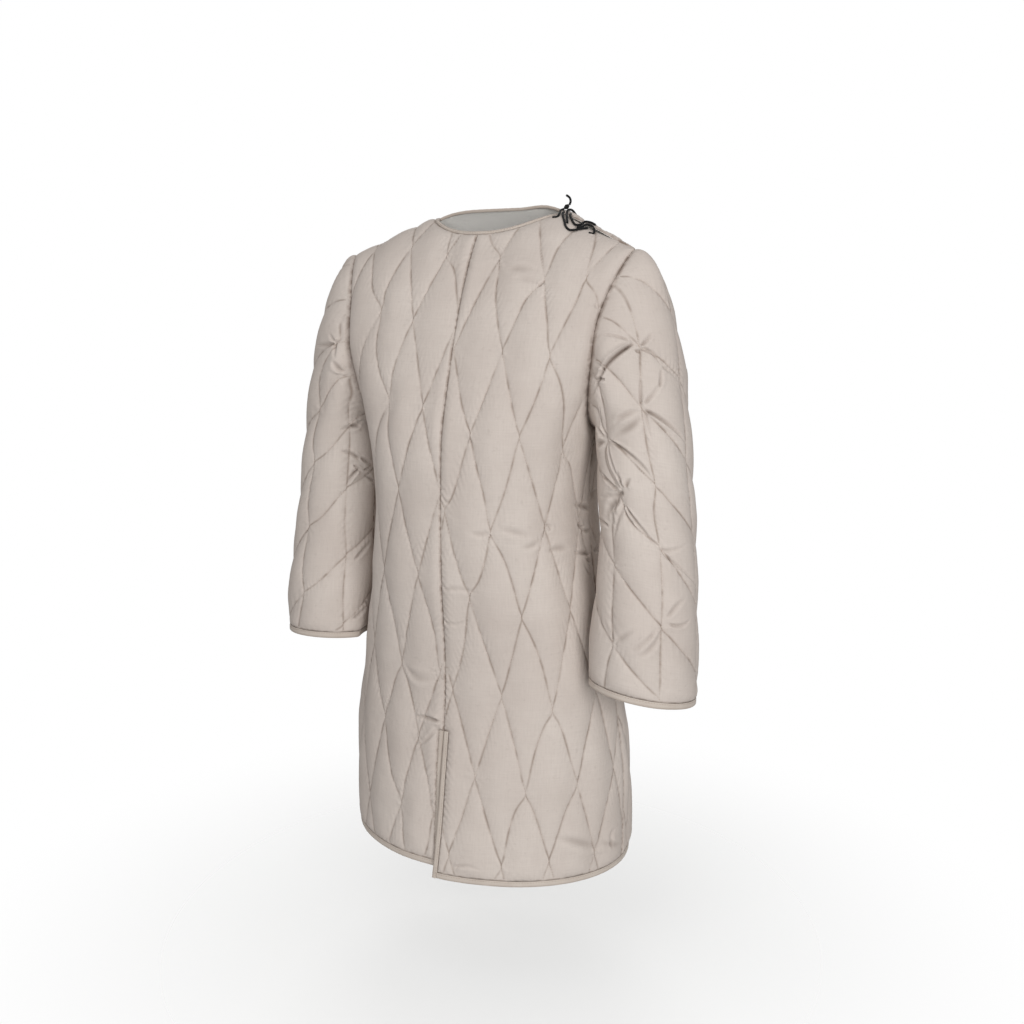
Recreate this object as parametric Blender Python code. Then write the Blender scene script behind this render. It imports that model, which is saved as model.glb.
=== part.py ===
"""Quilted gambeson: a long padded coat of plain cotton, in the hollow shape that it has when worn.

Frame: +X is the wearer's left, -Y the front and +Z up. The origin lies on the wearer's middle plane, level with
the points where the shoulder lines meet the neck. All sizes are in metres.

Each cloth piece is cut flat, as a maker cuts it. On the body, U runs round from the middle line and V runs up from
the hem. On a sleeve, U runs round from its outer line and V runs up from the cuff. The flat piece is divided into
triangles along its quilting lines, then carried onto the worn form. Its inside is plain, and its outside stands
higher between the lines than on them.
"""

from collections import namedtuple
from functools import lru_cache, partial
from math import cos, hypot, pi, radians, sin, tan

import bmesh
import bpy
import numpy as np
from mathutils import Vector
from mathutils.geometry import delaunay_2d_cdt

# ---- Driving sizes --------------------------------------------------------------------------------------------

LENGTH = 1.0  # neck-shoulder point to hem, straight down
SEAM_GAP = 0.0006  # between two pieces that are sewn together
WIDE_SEAM = 0.0010  # the same where the seam turns: at the armholes and the neck
STITCHED = 0.003  # wall on a quilting line
LOFT = 0.0055  # how far the middle of a quilted field stands over its lines
WALL = STITCHED + LOFT
EDGE_EASE = 0.020  # the field flattens this near to a seam

# Body sections from the hem to the level where the shoulders begin. Depths run from the side seams' plane.
Section = namedtuple("Section", "height half_width front back square")
BODY = (
    #       height  half_width  front  back   square
    Section(-LENGTH, 0.236, 0.184, 0.192, 2.00),
    Section(-0.860, 0.235, 0.171, 0.164, 2.10),
    Section(-0.680, 0.210, 0.155, 0.130, 2.35),
    Section(-0.530, 0.180, 0.164, 0.115, 2.60),
    Section(-0.420, 0.172, 0.164, 0.106, 2.70),
    Section(-0.330, 0.182, 0.159, 0.102, 2.85),
    Section(-0.200, 0.235, 0.125, 0.106, 3.20),
)
CHEST = BODY[-1].height
HEM = BODY[0].height

NECK_HALF = 0.1055  # neck-shoulder point from the middle plane
SHOULDER_FALL = 0.41  # slope of the shoulder line at the neck
SHOULDER_BOW = 0.16  # how much steeper it gets, per metre
RIDGE_BACK = 0.029  # the shoulder line lies this far behind the side seams at the neck
NAPE_BACK = 0.032  # and so does the back's top edge at the middle
NAPE_RISE = 0.012  # which stands this much over the neck-shoulder points
RIDGE_SKEW = 0.28  # and comes forward by this much per metre outwards
CHEST_LEAN = 0.32  # the front leans back by this much per metre, at the middle, where the chest begins
CHEST_WIDEN = 1.04  # the upper body is this much wider at the shoulder line

# Cutting lines of the body pieces, in the flat
SHOULDER_CUT = 0.254  # U of the shoulder point
UNDERARM_HEIGHT = -0.325
NECK_CUT = 0.1015  # U of the neck-shoulder point
FRONT_NECK_DROP = 0.1268  # from the virtual top of the middle line down to the front neck, along the cloth
BACK_NECK_DROP = 0.002
SLIT = 0.229  # front slit, up from the hem
SLIT_OPEN = 0.002  # half way down, it stands open by this much
RIGHT_HEM_RISE = 0.0155  # the right front hangs this much shorter
OPENING_OVER = 0.006  # the open left shoulder: at the neck, the back comes this far over the shoulder line
OPENING_LAP = 0.0015  # and the front's edge goes this far under the back's
OPENING_END = 0.175  # U where they stop lapping
OPENING_LIFT = 0.0055  # the back's edge stands this much proud there
OPENING_REACH = 0.010  # a lace this near to the shoulder line lies on the back's edge
Armhole = namedtuple("Armhole", "inset drop run_in")  # how its curve leaves the shoulder point and the underarm
ARMHOLES = {"front": Armhole(0.054, 0.104, 0.100), "back": Armhole(0.030, 0.110, 0.057)}
NECK_STEPS = 11  # points of half a neckline on one face
ARM_STEPS = 18  # stretches of an armhole on one face
LAP = 0.009  # the left front comes this far over the middle line at the hem
LAP_LIFT = 0.0034  # and stands this much forward there, as the right one stands back
HEM_BAND = 0.009
SLIT_BAND = 0.008
NECK_BAND = 0.0055
CUFF_BAND = 0.0095
BAND_WALL = 0.0046

# Quilting: half the width and height of a field, then where the lattice starts on each piece
FIELD_HALF = 0.0391
FIELD_RISE = 0.1261
Lattice = namedtuple("Lattice", "across up lean")
LEFT_LATTICE = Lattice(0.0196, 0.0410, -0.0208)
RIGHT_LATTICE = Lattice(0.0070, 0.0875, -0.0152)
BACK_LATTICE = Lattice(0.0, 0.0410, 0.0)
FIELD_STEPS = 4  # triangles along a field's side
LINING_STEP = 0.042  # between the points of the plain inside
SPLIT = np.array([0.4, 0.3, 0.9])  # the end of a rim's stretch that lies further this way starts its diagonal

# Sleeve rings, from the upper arm to the cuff, on the wearer's left
Ring = namedtuple("Ring", "height out forward half_width half_depth")
SLEEVE = (
    #    height   out    forward half_width half_depth
    Ring(-0.360, 0.2600, 0.015, 0.0715, 0.0740),
    Ring(-0.480, 0.2715, 0.024, 0.0725, 0.0730),
    Ring(-0.600, 0.2735, 0.036, 0.0800, 0.0830),
    Ring(-0.700, 0.2720, 0.040, 0.0850, 0.0900),
)
Cuff = namedtuple("Cuff", "height side_fall front_rise first_line lowest_cross elbow_turn")
CUFFS = {
    1: Cuff(-0.704, tan(radians(7.0)), tan(radians(8.0)), radians(51), 0.014, 0.26),
    -1: Cuff(-0.677, tan(radians(0.5)), tan(radians(5.0)), radians(73), 0.058, -0.08),
}
ELBOW = -0.560  # above it, the sleeve's lines turn towards the front
SLEEVE_LINES = 6  # quilting lines that run down a sleeve
SLEEVE_PITCH = 0.104  # between two slanting lines, along a lengthwise one
SLEEVE_RISE = 0.070  # how far a slanting line climbs from one lengthwise line to the next
SLEEVE_ROUND = 0.075  # radius that turns an angle about the sleeve into U
CUFF_STEPS = 24
SLEEVE_CLEAR = 0.005  # between the sleeve and the body's side
HEAD_OUT = (0.056, 0.0, 0.0)  # how the sleeve leaves the shoulder point
HEAD_DOWN = 0.145  # and how long it takes to turn down
UNDERARM_OUT = 0.022
UNDERARM_DOWN = 0.014
CAP_FLAT = 1.35  # above 1, the sleeve's head is flatter near the shoulder point
SEAM_SOFT = 0.25  # half the angle over which the armhole's rim evens out its lean

# Laces that close the left shoulder. Each row is a point of a route on the left front: U, how far below the
# shoulder line it lies, and its height over where it would rest on the cloth.
LACE = 0.0034  # diameter
LACE_STEP = 0.007
LACE_CLEAR = 0.0005
Turn = namedtuple("Turn", "across below over")
LACES = {
    "lace_front": (
        Turn(0.1035, 0.0370, -0.0018),
        Turn(0.1080, 0.0330, -0.0018),
        Turn(0.1085, 0.0230, -0.0005),
        Turn(0.1050, 0.0120, 0.0),
        Turn(0.1050, 0.0030, 0.0010),
    ),
    "lace_end": (
        Turn(0.1085, -0.0020, 0.0100),
        Turn(0.1085, -0.0010, 0.0150),
        Turn(0.1060, 0.0000, 0.0185),
        Turn(0.1010, 0.0020, 0.0205),
    ),
    "lace_loop": (
        Turn(0.1100, 0.0110, -0.0006),
        Turn(0.1115, 0.0170, -0.0006),
        Turn(0.1165, 0.0260, -0.0006),
        Turn(0.1235, 0.0355, -0.0006),
        Turn(0.1300, 0.0435, -0.0006),
        Turn(0.1370, 0.0445, -0.0006),
        Turn(0.1425, 0.0395, -0.0006),
        Turn(0.1495, 0.0310, -0.0006),
        Turn(0.1570, 0.0195, -0.0006),
    ),
    "lace_arc": (
        Turn(0.1285, 0.0350, 0.0),
        Turn(0.1230, 0.0250, 0.0),
        Turn(0.1165, 0.0130, 0.0),
        Turn(0.1130, 0.0030, 0.0030),
        Turn(0.1145, -0.0050, 0.0045),
        Turn(0.1200, -0.0080, 0.0020),
        Turn(0.1245, -0.0140, 0.0),
    ),
    "lace_long": (
        Turn(0.1205, 0.0070, 0.0),
        Turn(0.1240, 0.0150, 0.0),
        Turn(0.1320, 0.0240, 0.0),
        Turn(0.1395, 0.0280, 0.0),
        Turn(0.1445, 0.0210, 0.0),
        Turn(0.1485, 0.0090, 0.0),
        Turn(0.1545, 0.0020, 0.0),
        Turn(0.1620, 0.0030, 0.0),
    ),
    "lace_back": (
        Turn(0.1635, 0.0260, -0.0027),
        Turn(0.1690, 0.0220, -0.0027),
        Turn(0.1655, 0.0140, -0.0016),
        Turn(0.1590, 0.0125, -0.0006),
        Turn(0.1535, 0.0160, -0.0006),
        Turn(0.1490, 0.0225, -0.0006),
        Turn(0.1440, 0.0295, -0.0006),
    ),
}
KNOT_WIDE = 0.0068  # the bead that ties lace_front to lace_end
KNOT_CLEAR = 0.0012  # from the middles of their ends

CLOTH = (0.560, 0.500, 0.455)
TAPE = (0.545, 0.485, 0.440)
CORD = (0.012, 0.012, 0.013)


# ---- The worn form --------------------------------------------------------------------------------------------


def eased(table, at):
    """Each column of the table as a smooth curve of its first column."""
    rows = np.array(table, float)
    rows = rows[np.argsort(rows[:, 0])]
    x, y = rows[:, 0], rows[:, 1:]
    slope = np.gradient(y, x, axis=0)
    at = np.clip(np.asarray(at, float), x[0], x[-1])
    i = np.clip(np.searchsorted(x, at, side="right") - 1, 0, len(x) - 2)
    span = (x[i + 1] - x[i])[..., None]
    t = ((at - x[i]) / (x[i + 1] - x[i]))[..., None]
    start = (2 * t**3 - 3 * t**2 + 1) * y[i] + (t**3 - 2 * t**2 + t) * span * slope[i]
    return start + (3 * t**2 - 2 * t**3) * y[i + 1] + (t**3 - t**2) * span * slope[i + 1]


def smooth(share):
    """0 to 1 with soft ends."""
    share = np.clip(share, 0, 1)
    return share * share * (3 - 2 * share)


def bezier(p0, p1, p2, p3, t):
    t = np.asarray(t, float)[..., None]
    return (1 - t) ** 3 * p0 + 3 * (1 - t) ** 2 * t * p1 + 3 * (1 - t) * t**2 * p2 + t**3 * p3


def evened(points, count):
    """The same curve with its points at even steps of its length, and that length. Points run along axis 0."""
    steps = np.linalg.norm(np.diff(points, axis=0), axis=-1)
    run = np.concatenate([np.zeros((1,) + steps.shape[1:]), np.cumsum(steps, axis=0)])
    share = np.linspace(0, 1, count)
    out = np.empty((count,) + points.shape[1:])
    for j in range(points.shape[1]):
        for axis in range(points.shape[2]):
            out[:, j, axis] = np.interp(share * run[-1, j], run[:, j], points[:, j, axis])
    return out, run[-1]


def ridge(face, x):
    """The shoulder line: its place behind the side seams' plane and its height, at a distance from the middle.

    Between the neck-shoulder points, the back's top edge takes its place, and the front's is cut away.
    """
    out = np.abs(x) - NECK_HALF
    back = RIDGE_BACK - RIDGE_SKEW * out
    height = -SHOULDER_FALL * out - SHOULDER_BOW * np.maximum(out, 0) ** 2
    if face == "front":
        return back, height
    inner = np.minimum(np.abs(x) / NECK_HALF, 1) ** 4
    nape = NAPE_BACK + (RIDGE_BACK - NAPE_BACK) * inner
    return np.where(out < 0, nape, back), np.where(out < 0, NAPE_RISE * (1 - inner), height)


LEVELS, SHARES, CLIMBS = 81, 61, 49
SHARED = 0.012  # the front and the back share their slope this near to the shoulder line


@lru_cache(None)
def ring_grid(face):
    """Points of one face under the chest level, and the length of each level from the middle to the side seam."""
    heights = np.linspace(HEM, CHEST, LEVELS)
    turn = np.linspace(0, pi / 2, 721)
    rings = np.empty((721, LEVELS, 2))
    for k, (half_width, front, back, square) in enumerate(eased(BODY, heights)):
        rings[:, k, 0] = half_width * np.sin(turn) ** (2 / square)
        rings[:, k, 1] = (-front if face == "front" else back) * np.cos(turn) ** (2 / square)
    rings, girth = evened(rings, SHARES)
    low = np.empty((LEVELS, SHARES, 3))
    low[..., :2] = rings.transpose(1, 0, 2)
    low[..., 2] = heights[:, None]
    return low, girth


@lru_cache(None)
def body_grids(face):
    """Points of one face on a grid: the part under the chest level, the part over it, and their lengths."""
    sign = -1 if face == "front" else 1
    low, girth = ring_grid(face)
    ahead, ahead_girth = ring_grid("front")
    share = np.linspace(0, 1, SHARES)
    start = low[-1]
    top_x = CHEST_WIDEN * np.interp(share * girth[-1], share * ahead_girth[-1], ahead[-1, :, 0])
    top_y, top_z = ridge(face, top_x)
    top = np.stack([top_x, top_y, top_z], -1)
    climb = top_z - CHEST
    lean = CHEST_LEAN * np.maximum(0, 1 - (share / 0.8) ** 2) * (0.05 if sign > 0 else 1)
    up = start + np.stack([0 * climb, -sign * lean * 0.45 * climb, 0.45 * climb], -1)
    over = top + np.stack([0 * climb, 0.44 * (start[:, 1] - top_y), -0.02 * climb], -1)
    ts = np.linspace(0, 1, 4 * CLIMBS)
    high, rise = evened(np.stack([bezier(start, up, over, top, t) for t in ts]), CLIMBS)
    return low, high, girth, rise


def half_girth(face, v):
    return np.interp(v + HEM, np.linspace(HEM, CHEST, LEVELS), body_grids(face)[2])


def top_v(face, u):
    """V of the shoulder line at U."""
    *_, girth, rise = body_grids(face)
    return CHEST - HEM + np.interp(np.abs(u) / girth[-1], np.linspace(0, 1, SHARES), rise)


def on_grid(grid, row, column):
    row = np.clip(row, 0, grid.shape[0] - 1)
    column = np.clip(column, 0, grid.shape[1] - 1)
    i = np.minimum(row.astype(int), grid.shape[0] - 2)
    j = np.minimum(column.astype(int), grid.shape[1] - 2)
    a, b = (row - i)[..., None], (column - j)[..., None]
    near = grid[i, j] * (1 - b) + grid[i, j + 1] * b
    far = grid[i + 1, j] * (1 - b) + grid[i + 1, j + 1] * b
    return near * (1 - a) + far * a


def on_face(face, u, v):
    """The outside of the worn form at U and V. U is negative on the wearer's right."""
    low, high, girth, rise = body_grids(face)
    around = np.abs(u)
    share = around / half_girth(face, v)
    under = on_grid(low, v / (CHEST - HEM) * (LEVELS - 1), share * (SHARES - 1))
    under[..., 2] += np.minimum(v, 0)
    length = np.interp(around / girth[-1], np.linspace(0, 1, SHARES), rise)
    climb = (v - (CHEST - HEM)) / length
    over = on_grid(high, climb * (CLIMBS - 1), around / girth[-1] * (SHARES - 1))
    point = np.where((v <= CHEST - HEM)[..., None], under, over)
    point[..., 0] *= np.where(u < 0, -1, 1)
    return point


def body_point(face, u, v):
    """As on_face, and past the shoulder line it goes on down the other face."""
    u, v = np.broadcast_arrays(np.asarray(u, float), np.asarray(v, float))
    other = "back" if face == "front" else "front"
    past = v - top_v(face, u)
    return np.where((past <= 0)[..., None], on_face(face, u, v), on_face(other, u, top_v(other, u) - past))


def outward(across, along):
    out = np.cross(across, along)
    return out / np.linalg.norm(out, axis=-1, keepdims=True)


def face_out(face, u, v):
    """The direction out of one face, taken just inside its own edges."""
    step = 0.0015
    v = np.minimum(v, top_v(face, np.abs(u) + step) - step)
    edge = half_girth(face, v - step) - 2 * step
    u = np.clip(u, -edge, edge)
    across = on_face(face, u + step, v) - on_face(face, u - step, v)
    along = on_face(face, u, v + step) - on_face(face, u, v - step)
    return outward(across, along) if face == "front" else outward(along, across)


def body_out(face, u, v):
    """The direction out of the worn form. Near the shoulder line, the two faces share it."""
    other = "back" if face == "front" else "front"
    past = v - top_v(face, u)
    near = smooth(0.5 + past / (2 * SHARED))
    out = face_out(face, u, v) * (1 - near)[..., None]
    out += face_out(other, u, top_v(other, u) - past) * near[..., None]
    return out / np.linalg.norm(out, axis=-1, keepdims=True)


def on_body(face, u, v, lift):
    u, v = np.asarray(u, float), np.asarray(v, float)
    return body_point(face, u, v) + body_out(face, u, v) * (np.asarray(lift) - WALL)[..., None]


def on_front(u, v, lift):
    return on_body("front", u, v, lift)


def on_back(u, v, lift):
    """A point of the back, whose edge stands proud along the open left shoulder."""
    u, v = np.asarray(u, float), np.asarray(v, float)
    proud = smooth((u - 0.030) / 0.05) * smooth((SHOULDER_CUT - u) / 0.10)
    proud = proud * smooth(1 - (top_v("back", u) - v) / 0.07)
    return on_body("back", u, v, np.asarray(lift) + OPENING_LIFT * proud)


# ---- Cutting lines of the body --------------------------------------------------------------------------------


def armhole(face, t):
    """The armhole of one face in the flat, from the shoulder point at 0 to the underarm at 1."""
    under_v = UNDERARM_HEIGHT - HEM
    side = half_girth(face, under_v)
    top = np.array([SHOULDER_CUT, top_v(face, SHOULDER_CUT)])
    cut = ARMHOLES[face]
    high = np.array([SHOULDER_CUT - cut.inset, top[1] - cut.drop])
    low = np.array([side - cut.run_in, under_v])
    return bezier(top, high, low, np.array([side, under_v]), t)


def neck_rows(face, side):
    """Points of the neckline in the flat, from the middle to the neck-shoulder point, and the way into the cloth."""
    rows = []
    for share in np.linspace(0, 1, NECK_STEPS):
        if face == "back":
            corner = smooth((share - 0.75) / 0.25) if side < 0 else 0.0
            edge = (NECK_CUT * share, float(top_v("back", NECK_CUT * share)) - BACK_NECK_DROP * (1 - share**2))
            rows.append((np.array(edge), np.array([corner, -1.0])))
            continue
        top = float(top_v("front", NECK_CUT))
        middle = float(top_v("front", 0.0)) - FRONT_NECK_DROP
        curve = [np.array(p) for p in ((0.0, middle), (0.056, middle), (0.094, (top + middle) / 2), (NECK_CUT, top))]
        t = share * (0.905 if side > 0 else 0.965)
        ahead = bezier(*curve, t + 0.005) - bezier(*curve, t - 0.005)
        rows.append((bezier(*curve, t), np.array([ahead[1], -ahead[0]]) / hypot(*ahead)))
    return rows


def neck_cut(face, side):
    """Where the cloth of a face stops short of the neck's binding."""
    return [tuple(edge + into * (NECK_BAND + WIDE_SEAM)) for edge, into in neck_rows(face, side)]


def hem_v(u):
    """Height of the hem's cut: the right front is a little shorter, and the back levels the two out."""
    return 0.0 if u > 0 else RIGHT_HEM_RISE


def on_a_front(side, u, v, lift):
    """A point of the left front, or of the right one mirrored to positive U."""
    near = smooth(1 - np.abs(u) / 0.09)
    proud = 1 - np.clip(np.asarray(v, float) / SLIT, 0, 1) ** 3
    return on_front(side * np.asarray(u), v, lift + side * LAP_LIFT * proud * near)


def slit_edge(side, v):
    """U of the slit's edge. The slit stands a little open half way down, and the left front laps over lower down."""
    if side > 0:
        return SEAM_GAP / 2 - LAP * max(0.0, 1 - v / SLIT) ** 2.2
    return SEAM_GAP / 2 + SLIT_OPEN * sin(pi * min(1, v / SLIT))


def shoulder_cut(face, side):
    """The shoulder edge, from the neck outwards. At the open left shoulder, the back's edge laps over the front's."""
    start = NECK_CUT + (NECK_BAND + WIDE_SEAM if side < 0 or face == "front" else 2 * SEAM_GAP)
    points = []
    for u in np.linspace(start, SHOULDER_CUT, 9)[:-1]:
        off = SEAM_GAP / 2
        if side > 0:
            over = OPENING_OVER * (1 - ((u - start) / (SHOULDER_CUT - start)) ** 2)
            under = (OPENING_LAP + SEAM_GAP) * float(smooth((OPENING_END - u) / 0.05))
            off += over - under if face == "front" else -over
        points.append((float(u), float(top_v(face, u)) - off))
    return points


def arm_shares():
    """Steps along an armhole, which end half a gap short of the seams."""
    shares = np.linspace(0, 1, ARM_STEPS + 1) ** CAP_FLAT
    shares[0], shares[-1] = 0.0030, 0.9984
    return shares


def side_cut(face, hem):
    """The side seam's edge, from the underarm down to the hem."""
    under = UNDERARM_HEIGHT - HEM
    return [(float(half_girth(face, v)) - SEAM_GAP / 2, float(v)) for v in np.linspace(under, hem, 20)[1:]]


def front_outline(side):
    """The left front, or the right front mirrored to positive U."""
    hem = hem_v(side) + HEM_BAND + SEAM_GAP
    inset = SLIT_BAND + SEAM_GAP
    neck = neck_cut("front", side)
    neck[0] = (SEAM_GAP / 2, neck[0][1])
    points = [(slit_edge(side, v) + inset, float(v)) for v in np.linspace(hem, SLIT, 7)]
    points += spaced((SEAM_GAP / 2, SLIT), neck[0], 0.04)
    points += neck[:-1]
    points += shoulder_cut("front", side)
    points += [tuple(p) for p in armhole("front", arm_shares())]
    points += side_cut("front", hem)
    points += spaced(points[-1], points[0], 0.04)[1:]
    return points


def back_outline():
    """The whole back, cut on the fold, going round with the wearer's right at negative U."""
    halves = []
    for side in (1, -1):
        neck = neck_cut("back", side)
        points = neck[:-1] if side > 0 else neck
        if side > 0:
            points.append((NECK_CUT + 2 * SEAM_GAP, neck[-1][1]))
        points += shoulder_cut("back", side)
        points += [tuple(p) for p in armhole("back", arm_shares())]
        points += side_cut("back", hem_v(side) + HEM_BAND + SEAM_GAP)
        halves.append([(side * u, v) for u, v in points])
    left, right = halves
    return left + spaced(left[-1], right[-1], 0.04)[1:] + right[:0:-1]


def spaced(start, end, step):
    """Points from start up to, not including, end, about a step apart."""
    start, end = np.array(start), np.array(end)
    count = max(1, round(hypot(*(end - start)) / step))
    return [tuple(start + (end - start) * k / count) for k in range(count)]


# ---- Quilted walls --------------------------------------------------------------------------------------------


class Quilting:
    """A lattice of stitched lines in the flat, from one crossing and the two sides of a field."""

    def __init__(self, start, side_a, side_b):
        self.start = np.array(start, float)
        self.sides = np.array([side_a, side_b], float)

    def fields(self, points):
        """Where points lie, counted in fields along the two sides."""
        return (np.asarray(points, float) - self.start) @ np.linalg.inv(self.sides)

    def rise(self, points):
        """0 on the lines to 1 in the middle of a field."""
        part = self.fields(points)
        return np.abs(np.sin(pi * part[..., 0]) * np.sin(pi * part[..., 1])) ** 0.55

    def points(self, outline):
        """The lattice's points about the outline, by their counts along each side."""
        counts = self.fields(outline)
        low = np.floor(counts.min(axis=0)).astype(int) - 1
        high = np.ceil(counts.max(axis=0)).astype(int) + 1
        found = {}
        for i in range(low[0] * FIELD_STEPS, high[0] * FIELD_STEPS + 1):
            for j in range(low[1] * FIELD_STEPS, high[1] * FIELD_STEPS + 1):
                found[i, j] = self.start + np.array([i, j]) / FIELD_STEPS @ self.sides
        return found


def body_quilting(lattice):
    skew = lattice.lean * FIELD_RISE
    return Quilting(
        (lattice.across, lattice.up), (FIELD_HALF + skew, FIELD_RISE), (FIELD_HALF - skew, -FIELD_RISE)
    )


def edge_distance(points, outline):
    """Distance of each point from the outline, negative outside it."""
    points, ring = np.asarray(points, float), np.asarray(outline, float)
    ends = np.roll(ring, -1, axis=0)
    run = ends - ring
    best = np.full(len(points), 1e9)
    inside = np.zeros(len(points), bool)
    for a, b, d in zip(ring, ends, run):
        t = np.clip(((points - a) @ d) / max(d @ d, 1e-12), 0, 1)
        best = np.minimum(best, np.linalg.norm(points - a - t[:, None] * d, axis=1))
        if a[1] != b[1]:
            crosses = (a[1] > points[:, 1]) != (b[1] > points[:, 1])
            inside ^= crosses & (points[:, 0] < (b[0] - a[0]) * (points[:, 1] - a[1]) / (b[1] - a[1]) + a[0])
    return np.where(inside, best, -best)


def divided(outline, extra, lines):
    """Triangles that fill the outline, along the given lines between the extra points.

    It returns the points, the triangles, and for each point its place on the outline as an outline number, or -1.
    """
    count = len(outline)
    points = [Vector(p) for p in outline] + [Vector(p) for p in extra]
    edges = [(count + a, count + b) for a, b in lines]
    made, _, faces, known, *_ = delaunay_2d_cdt(points, edges, [list(range(count))], 1, 1e-5)
    flat = np.array([tuple(p) for p in made])
    faces = np.array([f for f in faces if len(f) == 3])
    faces = faces[edge_distance(flat[faces].mean(axis=1), outline) > 0]
    used, index = np.unique(faces, return_inverse=True)
    corner = [min([k for k in known[n] if k < count], default=-1) for n in used]
    return flat[used], index.reshape(-1, 3), np.array(corner)


def border(faces):
    """The edge's points in order."""
    ends = np.concatenate([faces[:, [0, 1]], faces[:, [1, 2]], faces[:, [2, 0]]])
    known = {tuple(e) for e in ends.tolist()}
    return ordered([e for e in map(tuple, ends.tolist()) if e[::-1] not in known])


def straightened(points, flat, ring, corner):
    """Moves the edge's points that lie between two corners of the outline onto the straight line between them."""
    corners = [k for k, n in enumerate(ring) if corner[n] >= 0]
    for a, b in zip(corners, corners[1:] + [corners[0] + len(ring)]):
        start, end = ring[a], ring[b % len(ring)]
        whole = np.linalg.norm(flat[end] - flat[start])
        for k in range(a + 1, b):
            n = ring[k % len(ring)]
            share = np.linalg.norm(flat[n] - flat[start]) / whole
            points[n] = points[start] * (1 - share) + points[end] * share


def wall(name, outline, quilting, place, rim=None):
    """A quilted wall: the outside follows the lines, and the inside is plain, on fewer points.

    The rim gives the place of a corner of the outline at a lift, where a seam needs its own, or None.
    """
    found = quilting.points(outline)
    spots = np.array(list(found.values()))
    depth = edge_distance(spots, outline)
    on_line = np.array([i % FIELD_STEPS == 0 or j % FIELD_STEPS == 0 for i, j in found])
    keep = (np.abs(depth) > np.where(on_line, 0.006, 0.010)) & ((depth > 0) | on_line)
    index = {}
    for key, kept in zip(found, keep):
        if kept:
            index[key] = len(index)
    lines = []
    for (i, j), a in index.items():
        for across, up, fixed in ((1, 0, j), (0, 1, i)):
            steps = [n for n in (1, 2, 3) if (i + n * across, j + n * up) in index]
            if fixed % FIELD_STEPS == 0 and steps:
                lines.append((a, index[i + steps[0] * across, j + steps[0] * up]))
    flat, faces, corner = divided(outline, spots[keep], lines)
    ring = border(faces)
    loop = flat[ring]

    low, high = loop.min(axis=0), loop.max(axis=0)
    rows = np.arange(low[1], high[1], LINING_STEP * 0.87)
    inner = [
        (x + LINING_STEP / 2 * (row % 2), y)
        for row, y in enumerate(rows)
        for x in np.arange(low[0], high[0], LINING_STEP)
    ]
    inner = np.array(inner)
    inner = inner[edge_distance(inner, loop) > 0.6 * LINING_STEP]
    plain, plain_faces, plain_corner = divided([tuple(p) for p in loop], inner, [])

    soft = np.clip(edge_distance(flat, loop) / EDGE_EASE, 0, 1)
    lift = STITCHED + LOFT * quilting.rise(flat) * soft * (2 - soft)
    lift[ring] = STITCHED
    outer = place(flat[:, 0], flat[:, 1], lift)
    lining = place(plain[:, 0], plain[:, 1], np.zeros(len(plain)))
    below = {int(k): n for n, k in enumerate(plain_corner) if k >= 0}
    plain_ring = [below[k] for k in range(len(ring))]
    if rim:
        for n, m in zip(ring, plain_ring):
            if corner[n] >= 0 and rim(corner[n], 0) is not None:
                outer[n] = rim(corner[n], STITCHED)
                lining[m] = rim(corner[n], 0)
    marks = np.full(len(plain), -1)
    marks[plain_ring] = corner[ring]
    straightened(outer, flat, ring, corner)
    straightened(lining, plain, plain_ring, marks)

    offset = len(outer)
    all_faces = [tuple(f) for f in faces] + [tuple(offset + k for k in f[::-1]) for f in plain_faces]
    for k in range(len(ring)):
        a, b = ring[k], ring[(k + 1) % len(ring)]
        c, d = offset + plain_ring[(k + 1) % len(ring)], offset + plain_ring[k]
        # Two pieces that meet at a seam split its wall the same way.
        towards = (outer[b] - outer[a]) * (np.sign(outer[a, 0] + outer[b, 0]), 1, 1)
        all_faces += [(b, a, d), (b, d, c)] if towards @ SPLIT > 0 else [(b, a, c), (a, d, c)]
    return solid(name, np.concatenate([outer, lining]), all_faces, CLOTH)


def ordered(edges):
    """The border's points in order, from its edges."""
    following = dict(edges)
    ring = [edges[0][0]]
    while following[ring[-1]] != ring[0]:
        ring.append(following[ring[-1]])
    return ring


# ---- Sleeves --------------------------------------------------------------------------------------------------

SLEEVE_ROWS, SLEEVE_COLUMNS = 121, 145


def body_side(y, z):
    """How far the body's side stands out, at a depth and a height."""
    half_width, front, back, square = np.moveaxis(eased(BODY, z), -1, 0)
    depth = np.where(y < 0, front, back)
    return half_width * np.maximum(0, 1 - (np.abs(y) / depth) ** square) ** (1 / square)


def armhole_ring(turn):
    """The armhole's edge on the form about the sleeve, by the angle from the shoulder point towards the front."""
    t = (np.abs(turn) / pi) ** CAP_FLAT
    front, back = armhole("front", t), armhole("back", t)
    ahead = body_point("front", front[:, 0], front[:, 1])
    behind = body_point("back", back[:, 0], back[:, 1])
    return np.where((turn > 0)[:, None], ahead, behind)


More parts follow.
